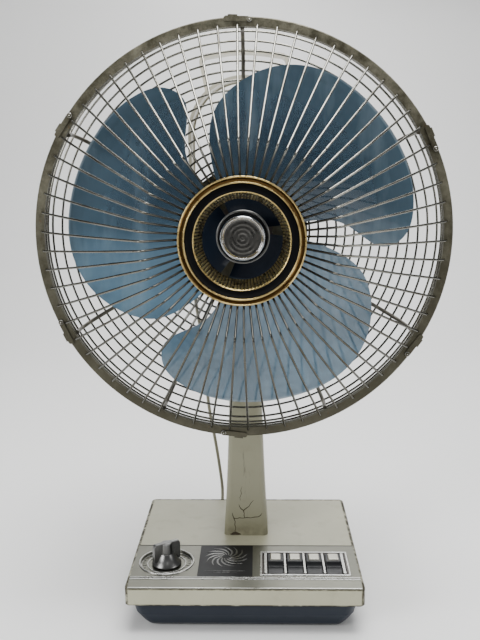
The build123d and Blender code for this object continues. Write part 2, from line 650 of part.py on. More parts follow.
GRIP_TOP = AXIS_Z + 196
GRIP_T, GRIP_DEPTH = 3.5, 22.0
GRIP_FOOT = ARCH_CENTRE + sqrt(ARCH_R**2 - 43**2) + 0.6     # just clear of the arch
with BuildPart() as carry_grip:
    with BuildSketch(Plane.XZ.offset(-ARCH_Y - GRIP_DEPTH / 2)):
        with BuildLine():
            FilletPolyline((-43.2, GRIP_FOOT), (-51, GRIP_TOP - 7), (0, GRIP_TOP), (51, GRIP_TOP - 7),
                           (43.2, GRIP_FOOT), radius=(9, 150, 9))
            FilletPolyline((43.2, GRIP_FOOT), (43.2 - GRIP_T, GRIP_FOOT + 2.4),
                           (51 - GRIP_T, GRIP_TOP - 7 - GRIP_T), (0, GRIP_TOP - GRIP_T),
                           (-51 + GRIP_T, GRIP_TOP - 7 - GRIP_T), (-43.2 + GRIP_T, GRIP_FOOT + 2.4),
                           (-43.2, GRIP_FOOT), radius=(0.2, 6, 140, 6, 0.2))
        make_face()
    extrude(amount=GRIP_DEPTH)
save(carry_grip.part, "carry_grip")

# ======================= head: rear guard =======================
# ring radius and depth behind the rim plane: the side wall, then the shoulder and the flat back
WALL_RINGS = [(202.4, 8), (203.2, 18), (204, 30), (202, 42)]
BACK_RINGS = [(194, 51), (185, 56), (175.5, 59), (166, 61)]
BACK_PITCH = 9.6
BACK_RINGS += [(166 - BACK_PITCH * step, REAR_DEPTH) for step in range(1, 11)]
for name, rings in (("rear_guard_wall_rings", WALL_RINGS), ("rear_guard_back_rings", BACK_RINGS)):
    with BuildPart() as ring_set:
        for ring_r, depth in rings:
            with Locations((0, RIM_Y + depth, AXIS_Z)):
                Torus(ring_r, WIRE_R, rotation=(90, 0, 0))
    save(ring_set.part, name)

RIB_R = 2.0
RIB_ANGLES = (30, 90, 150, 210, 245, 295, 330)
RIB_INSET = WIRE_R + RIB_R + 0.1
with BuildPart() as rib:
    with BuildLine(Plane.XZ):
        rib_path = FilletPolyline((198.7, -3.5), (200.8, -28), (192, -48.5), (174.7, -55.9), (156.3, -58.8),
                                  (75, -REAR_DEPTH + RIB_INSET), (62, -REAR_DEPTH),
                                  radius=(12, 14, 25, 40, 10))
    with BuildSketch(Plane(origin=rib_path @ 0, z_dir=rib_path % 0)):
        Circle(RIB_R)
    sweep()
with BuildPart() as rear_guard_ribs:
    with Locations(facing_forward(RIM_Y)):
        for angle in RIB_ANGLES:
            with Locations(Location((0, 0, 0), (0, 0, angle))):
                add(rib.part)
save(rear_guard_ribs.part, "rear_guard_ribs")

PLATE_Y = RIM_Y + REAR_DEPTH + RIB_R + 0.05
save(turned((PLATE_Y, 20.1), (PLATE_Y, 68), (BELL_FRONT, 68), (BELL_FRONT, 20.1)), "guard_hub_plate")

with BuildPart() as guard_nut:
    with BuildSketch(facing_forward(PLATE_Y)):
        Circle(31)
        with PolarLocations(32, 12):
            Circle(2.5, mode=Mode.SUBTRACT)
        Circle(20, mode=Mode.SUBTRACT)
    extrude(amount=7)
save(guard_nut.part, "guard_nut")

with BuildPart() as rear_rim:
    with Locations((0, RIM_Y - 1, AXIS_Z)):
        Torus(202, 3, rotation=(90, 0, 0))
save(rear_rim.part, "rear_rim")

# ======================= head: front guard =======================
RIM_FACE = RIM_Y - 7.0
RIM_IN = 198.5
save(turned((RIM_FACE, RIM_IN), (RIM_FACE, GUARD_R - 1), (RIM_FACE + 1, GUARD_R), (RIM_Y + 8, GUARD_R),
            (RIM_Y + 8, GUARD_R - 1.4), (RIM_FACE + 1.6, GUARD_R - 1.4), (RIM_FACE + 1.6, RIM_IN)),
     "front_rim")

with BuildPart() as front_wire:
    with BuildLine(Plane.XZ):
        wire_path = FilletPolyline((201, 7.2), (198.2, 14.5), (147, 59), (KINK_R, KINK_FORWARD), (57, 67.2),
                                   radius=(3, 260, 5))
    with BuildSketch(Plane(origin=wire_path @ 0, z_dir=wire_path % 0)):
        Circle(WIRE_R)
    sweep()
with BuildPart() as front_wires:
    with Locations(facing_forward(RIM_Y)):
        with PolarLocations(0, WIRE_COUNT, start_angle=FIRST_WIRE):
            add(front_wire.part)
save(front_wires.part, "front_wires")

BADGE_R = 59.6
BADGE_BACK = RIM_Y - 71.4
save(turned((BADGE_BACK, 52.8), (BADGE_BACK, BADGE_R), (BADGE_BACK - 3, BADGE_R),
            (BADGE_BACK - 4, BADGE_R - 1), (BADGE_BACK - 4, BADGE_R - 1.8), (BADGE_BACK - 3, BADGE_R - 2.4),
            (BADGE_BACK - 3, 54.6), (BADGE_BACK - 4, 54), (BADGE_BACK - 4, 53.2), (BADGE_BACK - 3, 52.8)),
     "badge_ring")
save(turned((BADGE_BACK, 45.2), (BADGE_BACK, 52.7), (BADGE_BACK - 2.4, 52.7), (BADGE_BACK - 2.4, 45.2)),
     "badge_disc")
save(turned((RIM_Y - 68.6, 55.8), (RIM_Y - 66, 55.8), (RIM_Y - 66, 42), (RIM_Y - 58, 37.5),
            (RIM_Y - 58, 36.2), (RIM_Y - 60, 36.2), (RIM_Y - 73, 44), (RIM_Y - 73, 45.1),
            (RIM_Y - 68.6, 45.1)), "badge_funnel")

# ---- the six swing clips that lock the two halves of the guard ----
CLIP_ANGLES = (88, 145, 24, 205, 324, 264)
CLIP_R = 205.0
CLIP_T = 1.3
CLIP_L = 22.0
for index, angle in enumerate(CLIP_ANGLES):
    pivot = Location((*polar(CLIP_R, angle), 0), (0, 0, angle - 90))
    with BuildPart() as clip:
        with BuildSketch(facing_forward(RIM_FACE - GAP)):
            with Locations(pivot):
                with Locations((-CLIP_L / 2, 0)):
                    SlotCenterToCenter(CLIP_L, 5)
                with Locations((-16, 1.9)):
                    Rectangle(9, 3.8)
        extrude(amount=CLIP_T)
        with BuildSketch(facing_forward(RIM_FACE - GAP - CLIP_T)):
            with Locations(pivot):
                Circle(2.1)
        extrude(amount=1.2)
        fillet(clip.faces().sort_by(Axis.Y)[0].edges(), 0.8)
        with BuildSketch(facing_forward(RIM_Y)):
            with Locations(pivot):
                with Locations((-16, 3.2)):
                    Rectangle(9, 1.2)
        extrude(amount=RIM_Y - RIM_FACE + GAP + CLIP_T)
    save(clip.part, f"clip_lever_{index + 1}")

# ======================= rotor =======================
SHAFT_FRONT, SHAFT_REAR = RIM_Y - 36, 124.0
WORM_PITCH = 2.6
with BuildPart() as motor_shaft:
    add(turned((SHAFT_FRONT, 0), (SHAFT_FRONT, SHAFT_R), (SHAFT_REAR, SHAFT_R), (SHAFT_REAR, 0)))
    for turn in range(7):
        worm_y = CRANK_Y + (turn - 3) * WORM_PITCH
        add(turned((worm_y - 1, SHAFT_R - 0.5), (worm_y - 0.4, WORM_R), (worm_y + 0.4, WORM_R),
                   (worm_y + 1, SHAFT_R - 0.5)))
save(motor_shaft.part, "motor_shaft")

save(turned((36, SHAFT_R), (36, AIR_R - GAP), (70, AIR_R - GAP), (70, SHAFT_R)), "rotor_core")

# outline of one blade, seen from the front: radius and degrees from its leading edge at the root
BLADE_OUTLINE = [(22, 18), (60, 10.5), (100, 6), (125, -2.5), (148, -6), (166, -2), (177, 8), (BLADE_R, 24),
                 (BLADE_R, 48), (178, 66), (167, 79), (149, 91), (124, 103), (95, 110), (60, 116), (22, 124)]
LEAD_DEPTH, TRAIL_DEPTH = 36.0, -9.0
SURFACE_START, SURFACE_SPAN = -16.0, 150.0


def blade_depth(radius, degrees):
    """Depth behind the rim plane: a twisted, cambered surface from trailing to leading edge."""
    across = (degrees + 6) / 128
    camber = 7 * sin(radians(180 * min(max(across, 0), 1)))
    flat = 0.55 + 0.45 * min(radius / 110, 1)
    middle = (LEAD_DEPTH + TRAIL_DEPTH) / 2
    return middle + (LEAD_DEPTH - TRAIL_DEPTH) * (0.5 - across) * flat + camber * radius / BLADE_R


surface_points = []
for row in range(9):
    radius = 18 + row * (BLADE_R + 6 - 18) / 8
    degrees_row = [SURFACE_START + SURFACE_SPAN * column / 12 for column in range(13)]
    surface_points.append([Vector(*polar(radius, deg), -blade_depth(radius, deg)) for deg in degrees_row])
BLADE_T = 1.8
blade_surface = Face.make_surface_from_array_of_points(surface_points)
with BuildPart() as blade:
    thicken(blade_surface, amount=BLADE_T / 2, both=True)
    with BuildSketch(Plane.XY.offset(-60)):
        with BuildLine():
            Spline(*[polar(radius, deg) for radius, deg in BLADE_OUTLINE])
            Line(polar(*BLADE_OUTLINE[-1]), polar(*BLADE_OUTLINE[0]))
        make_face()
    extrude(amount=120, mode=Mode.INTERSECT)
HUB_FRONT, HUB_BACK = RIM_Y - 17.5, RIM_Y + 34
with BuildPart() as fan_blade:
    with Locations(facing_forward(RIM_Y)):
        with PolarLocations(0, 3):
            add(blade.part)
    add(turned((HUB_FRONT, SHAFT_R), (HUB_FRONT, HUB_R), (HUB_BACK, HUB_R), (HUB_BACK, HUB_R - 3),
               (HUB_FRONT + 4, HUB_R - 3), (HUB_FRONT + 4, 9), (HUB_BACK, 9), (HUB_BACK, SHAFT_R)))
save(fan_blade.part, "fan_blade")

COLLAR_R, NUT_R = HUB_R + 2.4, 22.0
NUT_BACK, NUT_FACE = HUB_FRONT - 3, SHAFT_FRONT - 2
save(turned((HUB_FRONT, SHAFT_R), (HUB_FRONT, COLLAR_R), (NUT_BACK, COLLAR_R), (NUT_BACK, SHAFT_R)),
     "hub_collar")
save(turned((NUT_BACK, SHAFT_R), (NUT_BACK, NUT_R), (NUT_FACE + 2, NUT_R), (NUT_FACE, NUT_R - 2),
            (NUT_FACE, 0), (SHAFT_FRONT, 0), (SHAFT_FRONT, SHAFT_R)), "spinner_nut")

# ======================= motor lead: motor cover to base =======================
LEAD_D = 4.0
LEAD_UPPER = [(exit_x, LEAD_EXIT_Y, AXIS_Z + exit_up), (-52, 86, 354), (-60.5, 90, 336), (-61.2, 93.5, 313.5),
              (-57, 96, 290)]
LEAD_LOWER = [(-57, 96, 290), (-52, 99, 262), (-50.5, 100, 232), (-49, 102, 200), (-46, 107, 168),
              (-41, 114, 138), (-37.5, 124, 108), (-35, 135.5, 80), (-33.2, 141.2, 60),
              (-33, 138.4, 48.5), (-33, 129, 42.4), (-33, 117.1, 42)]


def lead(points):
    """A round lead along straight runs joined by the largest arcs that the runs leave room for."""
    corners = [Vector(*point) for point in points]
    radii = []
    for before, corner, after in zip(corners, corners[1:], corners[2:]):
        shorter = min((corner - before).length, (after - corner).length)
        turn = (corner - before).get_angle(after - corner)
        radii.append(0.45 * shorter / tan(radians(turn / 2)))
    with BuildPart() as tube:
        with BuildLine():
            path = FilletPolyline(*points, radius=radii)
        with BuildSketch(Plane(origin=path @ 0, z_dir=path % 0)):
            Circle(LEAD_D / 2)
        sweep()
    section = pi * LEAD_D**2 / 4
    print("lead radii", [round(r, 1) for r in radii], "length", round(path.length, 1),
          "volume ratio", round(tube.part.volume / (section * path.length), 4))
    return tube.part


save(lead(LEAD_UPPER), "motor_lead_upper")
save(lead(LEAD_LOWER), "motor_lead_lower")
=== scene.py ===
import json
from math import cos, pi, radians, sin

import bmesh
import bpy
from mathutils import Matrix, Vector


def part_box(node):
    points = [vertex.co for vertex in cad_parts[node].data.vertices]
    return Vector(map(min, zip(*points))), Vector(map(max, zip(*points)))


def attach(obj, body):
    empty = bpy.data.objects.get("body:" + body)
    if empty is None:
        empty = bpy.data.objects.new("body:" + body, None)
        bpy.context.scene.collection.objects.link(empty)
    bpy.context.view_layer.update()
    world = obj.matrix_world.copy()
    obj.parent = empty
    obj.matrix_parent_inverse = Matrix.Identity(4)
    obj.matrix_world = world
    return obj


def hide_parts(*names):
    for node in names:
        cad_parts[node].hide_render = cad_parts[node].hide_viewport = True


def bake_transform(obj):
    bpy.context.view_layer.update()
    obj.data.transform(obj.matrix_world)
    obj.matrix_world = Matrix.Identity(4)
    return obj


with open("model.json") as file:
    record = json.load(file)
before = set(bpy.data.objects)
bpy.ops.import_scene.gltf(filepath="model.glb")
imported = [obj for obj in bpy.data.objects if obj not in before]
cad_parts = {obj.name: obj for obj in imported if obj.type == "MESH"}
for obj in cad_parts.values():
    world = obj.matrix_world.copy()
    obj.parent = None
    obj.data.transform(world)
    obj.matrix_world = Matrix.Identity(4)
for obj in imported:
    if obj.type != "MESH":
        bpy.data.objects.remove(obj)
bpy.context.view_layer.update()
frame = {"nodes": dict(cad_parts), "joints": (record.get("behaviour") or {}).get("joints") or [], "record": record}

SCENE = bpy.context.scene
axle_low, axle_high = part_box("hub_collar")
AXIS_Z = (axle_low.z + axle_high.z) / 2     # height of the fan's axis


# ---------------------------------------------------------------- camera
def make_camera():
    """The photograph's viewpoint: a little above the badge, looking slightly down and from the right."""
    turn, pitch, roll = radians(1.3), radians(10.5), radians(-0.4)
    camera = bpy.data.objects.new("camera", bpy.data.cameras.new("camera"))
    SCENE.collection.objects.link(camera)
    camera.data.lens = 45.6
    camera.data.sensor_width = 36
    camera.data.clip_end = 50
    stand = Vector((-0.0052, -0.874, 0.4720))
    camera.matrix_world = (Matrix.Rotation(turn, 4, "Z") @ Matrix.Translation(stand)
                           @ Matrix.Rotation(pi / 2 - pitch, 4, "X") @ Matrix.Rotation(roll, 4, "Z"))
    SCENE.camera = camera


make_camera()


# ---------------------------------------------------------------- finishes
class Finish:
    """A Principled material, and short ways to lay tint, gloss and relief on it.

    Textures are placed in the row frame, in metres, so a scale of 1000 has features about 1 mm across.
    """

    def __init__(self, name, colour, rough, metal=0.0, **fixed):
        self.mat = bpy.data.materials.new(name)
        self.mat.use_nodes = True
        self.mat.diffuse_color = (*colour, 1)
        tree = self.mat.node_tree
        self.nodes, self.links = tree.nodes, tree.links
        self.shader = self.nodes["Principled BSDF"]
        self.shader.inputs["Base Color"].default_value = (*colour, 1)
        self.shader.inputs["Roughness"].default_value = rough
        self.shader.inputs["Metallic"].default_value = metal
        for socket, value in fixed.items():
            self.shader.inputs[socket.replace("_", " ")].default_value = value
        self.place = self.nodes.new("ShaderNodeTexCoord").outputs["Object"]

    def node(self, kind, **values):
        made = self.nodes.new(kind)
        for key, value in values.items():
            setattr(made, key, value)
        return made

    def join(self, source, target):
        self.links.new(source, target)

    def grain(self, scale, stretch=(1, 1, 1), detail=4.0, rough=0.55):
        """Cloudy noise from 0 to 1. A stretch below 1 draws it out along that axis."""
        mapping = self.node("ShaderNodeMapping")
        mapping.inputs["Scale"].default_value = stretch
        self.join(self.place, mapping.inputs["Vector"])
        noise = self.node("ShaderNodeTexNoise")
        noise.inputs["Scale"].default_value = scale
        noise.inputs["Detail"].default_value = detail
        noise.inputs["Roughness"].default_value = rough
        self.join(mapping.outputs["Vector"], noise.inputs["Vector"])
        return noise.outputs["Fac"]

    def ramp(self, value, low, high, start=0.0, end=1.0):
        """The value's stretch from low to high, as start to end."""
        ramp = self.node("ShaderNodeMapRange")
        ramp.inputs["From Min"].default_value = low
        ramp.inputs["From Max"].default_value = high
        ramp.inputs["To Min"].default_value = start
        ramp.inputs["To Max"].default_value = end
        self.join(value, ramp.inputs["Value"])
        return ramp.outputs["Result"]

    def both(self, one, other, how="MULTIPLY"):
        maths = self.node("ShaderNodeMath", operation=how)
        self.join(one, maths.inputs[0])
        if hasattr(other, "links"):
            self.join(other, maths.inputs[1])
        else:
            maths.inputs[1].default_value = other
        return maths.outputs["Value"]

    def along(self, axis):
        parts = self.node("ShaderNodeSeparateXYZ")
        self.join(self.place, parts.inputs["Vector"])
        return parts.outputs[axis]

    def from_fan_axis(self):
        """Distance from the fan's axis."""
        across = self.along("X")
        up = self.both(self.along("Z"), -AXIS_Z, "ADD")
        square = self.both(self.both(across, across), self.both(up, up), "ADD")
        return self.both(square, 0.5, "POWER")

    def tint(self, mask, colour):
        """Mixes a colour in where the mask is 1."""
        mix = self.node("ShaderNodeMix", data_type="RGBA")
        target = self.shader.inputs["Base Color"]
        if target.links:
            self.join(target.links[0].from_socket, mix.inputs["A"])
        else:
            mix.inputs["A"].default_value = target.default_value
        mix.inputs["B"].default_value = (*colour, 1)
        self.join(mask, mix.inputs["Factor"])
        self.join(mix.outputs["Result"], target)
        return self

    def gloss(self, mask, rough_at_0, rough_at_1):
        self.join(self.ramp(mask, 0, 1, rough_at_0, rough_at_1), self.shader.inputs["Roughness"])
        return self

    def level(self, socket, mask, at_0, at_1):
        """Drives one of the shader's numbers from the mask."""
        self.join(self.ramp(mask, 0, 1, at_0, at_1), self.shader.inputs[socket])
        return self

    def relief(self, height, depth):
        """Bump of that depth in metres."""
        bump = self.node("ShaderNodeBump")
        bump.inputs["Distance"].default_value = depth
        target = self.shader.inputs["Normal"]
        if target.links:
            self.join(target.links[0].from_socket, bump.inputs["Normal"])
        self.join(height, bump.inputs["Height"])
        self.join(bump.outputs["Normal"], target)
        return self


def worn_paint(name, colour, rough, grime, chip, chip_share):
    """Old sprayed enamel: clouded, faintly orange-peeled, with grime and small chips."""
    paint = Finish(name, colour, rough, Coat_Weight=0.25, Coat_Roughness=0.25)
    paint.tint(paint.ramp(paint.grain(9), 0.35, 0.75, 0, 0.35), grime)
    paint.tint(paint.ramp(paint.grain(60, detail=8), 0.55, 0.8, 0, 0.5), grime)
    chips = paint.ramp(paint.grain(140, detail=10, rough=0.7), chip_share, chip_share + 0.02)
    paint.tint(chips, chip)
    paint.gloss(paint.grain(25), rough - 0.1, rough + 0.16)
    paint.relief(paint.grain(700), 0.00004)
    return paint


def brushed(name, colour, rough, stretch, dull, metal=1.0):
    """Brushed metal, its scratches drawn out along the axis whose stretch is small."""
    made = Finish(name, colour, rough, metal)
    lines = made.grain(2600, stretch, detail=3)
    made.tint(made.ramp(lines, 0.3, 0.7, 0, 0.3), tuple(0.6 * c for c in colour))
    made.tint(made.ramp(made.grain(14), 0.4, 0.75, 0, 0.5), dull)
    made.gloss(lines, rough - 0.08, rough + 0.14)
    made.relief(lines, 0.00003)
    return made


def plastic(name, colour, rough, spot, **fixed):
    """Moulded plastic: fine skin texture, faint clouding and dust."""
    made = Finish(name, colour, rough, **fixed)
    made.tint(made.ramp(made.grain(22, detail=6), 0.45, 0.8, 0, 0.4), spot)
    made.gloss(made.grain(50), rough - 0.07, rough + 0.12)
    made.relief(made.grain(2400, detail=2), 0.00002)
    return made


def cream_paint():
    """The base's enamel: grime, long scratches, and paint worn through along the cover's edges."""
    paint = worn_paint("cream_paint", (0.43, 0.42, 0.30), 0.36, grime=(0.27, 0.25, 0.16),
                       chip=(0.09, 0.075, 0.05), chip_share=0.72)
    scratch = paint.ramp(paint.grain(90, (1, 1, 0.12), detail=6, rough=0.7), 0.72, 0.74)
    paint.tint(scratch, (0.17, 0.15, 0.1))
    low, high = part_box("base_cover")
    sides = paint.ramp(paint.both(paint.along("X"), 0, "ABSOLUTE"), high.x - 0.0044, high.x - 0.0030)
    ends = paint.ramp(paint.both(paint.along("Y"), 0, "ABSOLUTE"), high.y - 0.0060, high.y - 0.0040)
    top_edge = paint.ramp(paint.along("Z"), high.z - 0.0032, high.z - 0.0020)
    low_edge = paint.ramp(paint.along("Z"), low.z + 0.0014, low.z + 0.0006)
    edge = paint.both(paint.both(sides, ends, "MAXIMUM"), paint.both(top_edge, low_edge, "MAXIMUM"))
    edge = paint.both(edge, paint.both(sides, ends), "MAXIMUM")
    worn = paint.both(edge, paint.ramp(paint.grain(95, detail=9, rough=0.78), 0.36, 0.52))
    paint.tint(worn, (0.042, 0.036, 0.022))
    paint.level("Coat Weight", worn, 0.25, 0.0)
    return paint.level("Specular IOR Level", worn, 0.5, 0.05).mat


def shaded_column_paint():
    """The column's enamel, its cream darkened as painted shade: dents, drip marks and a darker, patchy foot."""
    # Painted shade: the column's cream is a darker copy of the base's cream, as if it stood in the head's shadow.
    paint = worn_paint("shaded_column_paint", (0.265, 0.258, 0.17), 0.34, grime=(0.21, 0.195, 0.125),
                       chip=(0.07, 0.06, 0.04), chip_share=0.73)
    foot = paint.ramp(paint.along("Z"), 0.075, 0.056, 0, 0.7)
    paint.tint(paint.both(foot, paint.ramp(paint.grain(55, detail=8), 0.4, 0.6)), (0.11, 0.095, 0.055))
    streaks = paint.ramp(paint.grain(120, (1.6, 1, 0.06), detail=5, rough=0.7), 0.64, 0.69, 0, 0.7)
    paint.tint(streaks, (0.13, 0.12, 0.08))
    return paint.relief(paint.grain(32), 0.0008).mat


def rim_paint():
    """Dull olive-brown band with paler rubbed patches, made stronger towards the top as painted light from above.
    """
    paint = Finish("rim_steel", (0.055, 0.050, 0.030), 0.42, 0.5)
    # Painted light: the paler patches grow stronger towards the top, where the light from above falls on the band.
    upper = paint.ramp(paint.along("Z"), AXIS_Z - 0.1, AXIS_Z + 0.2, 0.15, 0.9)
    rubbed = paint.ramp(paint.grain(38, detail=12, rough=0.75), 0.42, 0.7)
    paint.tint(paint.both(rubbed, upper), (0.3, 0.285, 0.21))
    rust = paint.ramp(paint.grain(120, detail=8, rough=0.7), 0.62, 0.68, 0, 0.8)
    paint.tint(rust, (0.11, 0.06, 0.025))
    paint.gloss(paint.grain(60), 0.3, 0.6)
    return paint.relief(paint.grain(300, detail=6), 0.0001).mat


def guard_wire():
    """Plated wire, its colour darkened to dark grey as painted shade, lighter towards the top as painted light,
    and darkest near the badge as painted shade.
    """
    # Painted shade: the base colour is kept dark so the wire reads dark with narrow highlights.
    wire = Finish("guard_wire", (0.10, 0.098, 0.085), 0.2, 1.0)
    # Painted light: the upper wires are lighter, where the light from above falls.
    wire.tint(wire.ramp(wire.along("Z"), AXIS_Z - 0.10, AXIS_Z + 0.16, 0, 0.75), (0.44, 0.43, 0.38))
    wire.tint(wire.ramp(wire.grain(30, detail=8), 0.5, 0.7, 0, 0.75), (0.06, 0.05, 0.032))
    specks = wire.ramp(wire.grain(260, detail=8, rough=0.7), 0.62, 0.67)
    wire.tint(specks, (0.05, 0.035, 0.02))
    # Painted shade: the wires are darkest near the badge.
    wire.tint(wire.ramp(wire.from_fan_axis(), 0.098, 0.074, 0, 0.85), (0.026, 0.026, 0.024))
    return wire.gloss(wire.grain(80), 0.12, 0.34).mat


def rib_steel():
    rib = Finish("guard_rib", (0.09, 0.082, 0.065), 0.4, 0.6)
    rib.tint(rib.ramp(rib.grain(80, detail=8), 0.5, 0.68, 0, 0.7), (0.3, 0.28, 0.22))
    return rib.relief(rib.grain(500), 0.0001).mat


def trim(name, colour, dull):
    """Polished trim, tarnished in soft patches."""
    metal = Finish(name, colour, 0.24, 1.0)
    metal.tint(metal.ramp(metal.grain(60, detail=3), 0.5, 0.72, 0, 0.7), dull)
    metal.gloss(metal.grain(90), 0.16, 0.40)
    return metal.relief(metal.grain(700), 0.00003).mat


def blade_plastic():
    """Translucent slate-blue plastic, glossy: near black at the hub, from thick plastic and painted shade; darker
    above and paler below as painted shade and light; with a painted highlight along the outer edge and pale
    streaks of painted sheen.
    """
    blade = Finish("blade_blue", (0.024, 0.050, 0.078), 0.2, IOR=1.45, Coat_Roughness=0.035)
    out = blade.from_fan_axis()
    # Painted light and shade: the blades are paler below the axis and darker above it, as the light falls on them.
    pale = blade.both(blade.ramp(blade.along("Z"), AXIS_Z + 0.03, AXIS_Z - 0.07),
                      blade.ramp(blade.grain(5, detail=2), 0.35, 0.6, 0.55, 1.0))
    blade.tint(pale, (0.155, 0.275, 0.385))
    blade.tint(blade.ramp(out, 0.10, 0.181, 0, 0.4), (0.15, 0.25, 0.33))
    blade.tint(blade.ramp(blade.grain(9, (1, 1, 2), detail=3), 0.45, 0.7, 0, 0.4), (0.02, 0.045, 0.07))
    # Pale streaks of painted sheen.
    blade.tint(blade.ramp(blade.grain(16, (2.5, 1, 0.6), detail=4), 0.5, 0.75, 0, 0.3), (0.3, 0.4, 0.47))
    # A painted highlight along the blades' outer edge.
    blade.tint(blade.ramp(out, 0.1785, 0.1805, 0, 0.7), (0.36, 0.45, 0.52))
    # Near black at the hub: thicker plastic, and painted shade from the badge's funnel.
    hub = blade.ramp(out, 0.058, 0.046)
    blade.tint(hub, (0.003, 0.006, 0.012))
    patches = blade.ramp(blade.grain(18, detail=3), 0.4, 0.7, 0, 0.5)
    blade.gloss(blade.both(hub, patches, "MAXIMUM"), 0.08, 0.4)
    blade.level("Coat Weight", hub, 1.0, 0.05)
    blade.level("Specular IOR Level", hub, 0.5, 0.06)
    blade.level("Transmission Weight", hub, 0.34, 0.0)
    return blade.relief(blade.grain(9, detail=0), 0.0008).mat


def turned_chrome():
    """The nut's plating, its face dulled inside the bright lip."""
    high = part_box("spinner_nut")[1]
    chrome = Finish("nut_chrome", (0.74, 0.74, 0.75), 0.12, 1.0)
    face = chrome.ramp(chrome.from_fan_axis(), high.x - 0.0034, high.x - 0.0042)
    chrome.tint(face, (0.115, 0.112, 0.105))
    chrome.tint(chrome.ramp(chrome.grain(110, detail=8), 0.48, 0.72, 0, 0.5), (0.26, 0.25, 0.23))
    return chrome.gloss(chrome.both(face, chrome.grain(120)), 0.08, 0.55).mat


def lead_vinyl():
    vinyl = plastic("lead_vinyl", (0.19, 0.18, 0.125), 0.5, (0.08, 0.075, 0.05))
    return vinyl.relief(vinyl.grain(900), 0.00006).mat


def winding_copper():
    copper = Finish("copper_winding", (0.45, 0.17, 0.05), 0.3, 0.6, Coat_Weight=0.6)
    turns = copper.grain(1500, (1, 0.05, 1), detail=2)
    return copper.tint(copper.ramp(turns, 0.35, 0.65, 0, 0.6), (0.16, 0.05, 0.02)).relief(turns, 0.0002).mat


def laminations():
    steel = Finish("lamination_steel", (0.2, 0.2, 0.21), 0.45, 0.9)
    sheets = steel.grain(1800, (0.02, 1, 0.02), detail=1)
    return steel.tint(steel.ramp(sheets, 0.4, 0.6, 0, 0.7), (0.07, 0.07, 0.075)).relief(sheets, 0.0002).mat


def cast_metal(name, colour):
    cast = Finish(name, colour, 0.5, 0.9)
    cast.tint(cast.ramp(cast.grain(45, detail=6), 0.45, 0.7, 0, 0.5), tuple(0.55 * c for c in colour))
    return cast.relief(cast.grain(900, detail=5), 0.00018).mat


CREAM = cream_paint()
SHADED_COLUMN_CREAM = shaded_column_paint()
TUB = plastic("tub_plastic", (0.006, 0.011, 0.021), 0.42, (0.014, 0.019, 0.026), Specular_IOR_Level=0.3).mat
RUBBER = plastic("rubber_black", (0.02, 0.02, 0.02), 0.75, (0.06, 0.06, 0.055)).mat
PLATE = brushed("plate_steel", (0.42, 0.42, 0.41), 0.4, (0.05, 1, 1), (0.2, 0.18, 0.15)).mat
SCREW = brushed("screw_steel", (0.55, 0.55, 0.53), 0.3, (1, 0.2, 1), (0.25, 0.22, 0.18)).mat
PANEL = brushed("panel_aluminium", (0.20, 0.20, 0.168), 0.34, (0.012, 1, 1), (0.10, 0.10, 0.08)).mat
LABEL = plastic("label_black", (0.006, 0.006, 0.007), 0.4, (0.018, 0.018, 0.018), Specular_IOR_Level=0.2).mat
KEY = plastic("key_black", (0.009, 0.0095, 0.011), 0.34, (0.03, 0.03, 0.03), Specular_IOR_Level=0.3).mat
TRIM = trim("bright_trim", (0.58, 0.58, 0.56), (0.40, 0.39, 0.35))
SWIRL = trim("swirl_silver", (0.19, 0.19, 0.185), (0.06, 0.06, 0.058))
CAP = brushed("key_silver", (0.50, 0.49, 0.43), 0.3, (0.02, 1, 1), (0.34, 0.33, 0.28)).mat
PHENOLIC = plastic("case_phenolic", (0.045, 0.035, 0.028), 0.4, (0.09, 0.08, 0.07)).mat
KNOB = brushed("knob_metal", (0.20, 0.20, 0.195), 0.28, (1, 1, 0.05), (0.10, 0.10, 0.095)).mat
CAPACITOR = plastic("capacitor_grey", (0.5, 0.52, 0.55), 0.35, (0.35, 0.36, 0.38)).mat
ZINC = cast_metal("cast_zinc", (0.42, 0.42, 0.43))
BELL = cast_metal("bell_aluminium", (0.56, 0.56, 0.56))
LAMINATION = laminations()
COPPER = winding_copper()
BRONZE = cast_metal("bronze_bush", (0.42, 0.28, 0.12))
COVER = plastic("motor_cover_cream", (0.52, 0.50, 0.40), 0.32, (0.4, 0.36, 0.26), Coat_Weight=0.3).mat
HANDLE = plastic("handle_cream", (0.60, 0.57, 0.46), 0.34, (0.42, 0.37, 0.27), Coat_Weight=0.3).mat
WIRE = guard_wire()
RIB = rib_steel()
RIM = rim_paint()
GOLD = trim("badge_gold", (0.66, 0.50, 0.21), (0.22, 0.13, 0.045))
FLUTE_CREST = trim("flute_crest", (0.52, 0.42, 0.17), (0.26, 0.19, 0.07))
# Painted shade: a dark copy of the gold for the flutes' valleys.
FLUTE_VALLEY_SHADE = trim("flute_valley_shade", (0.10, 0.07, 0.02), (0.05, 0.032, 0.01))
BROWN = trim("badge_brown", (0.075, 0.04, 0.012), (0.03, 0.015, 0.005))
BADGE_BLACK = plastic("badge_black", (0.002, 0.002, 0.0025), 0.3, (0.008, 0.008, 0.008),
                      Specular_IOR_Level=0.12).mat
CRACK = plastic("bare_crack", (0.035, 0.024, 0.012), 0.75, (0.09, 0.045, 0.018)).mat
SHAFT = brushed("shaft_steel", (0.6, 0.6, 0.6), 0.22, (1, 0.05, 1), (0.35, 0.34, 0.32)).mat
BLADE = blade_plastic()
CHROME = turned_chrome()
VINYL = lead_vinyl()

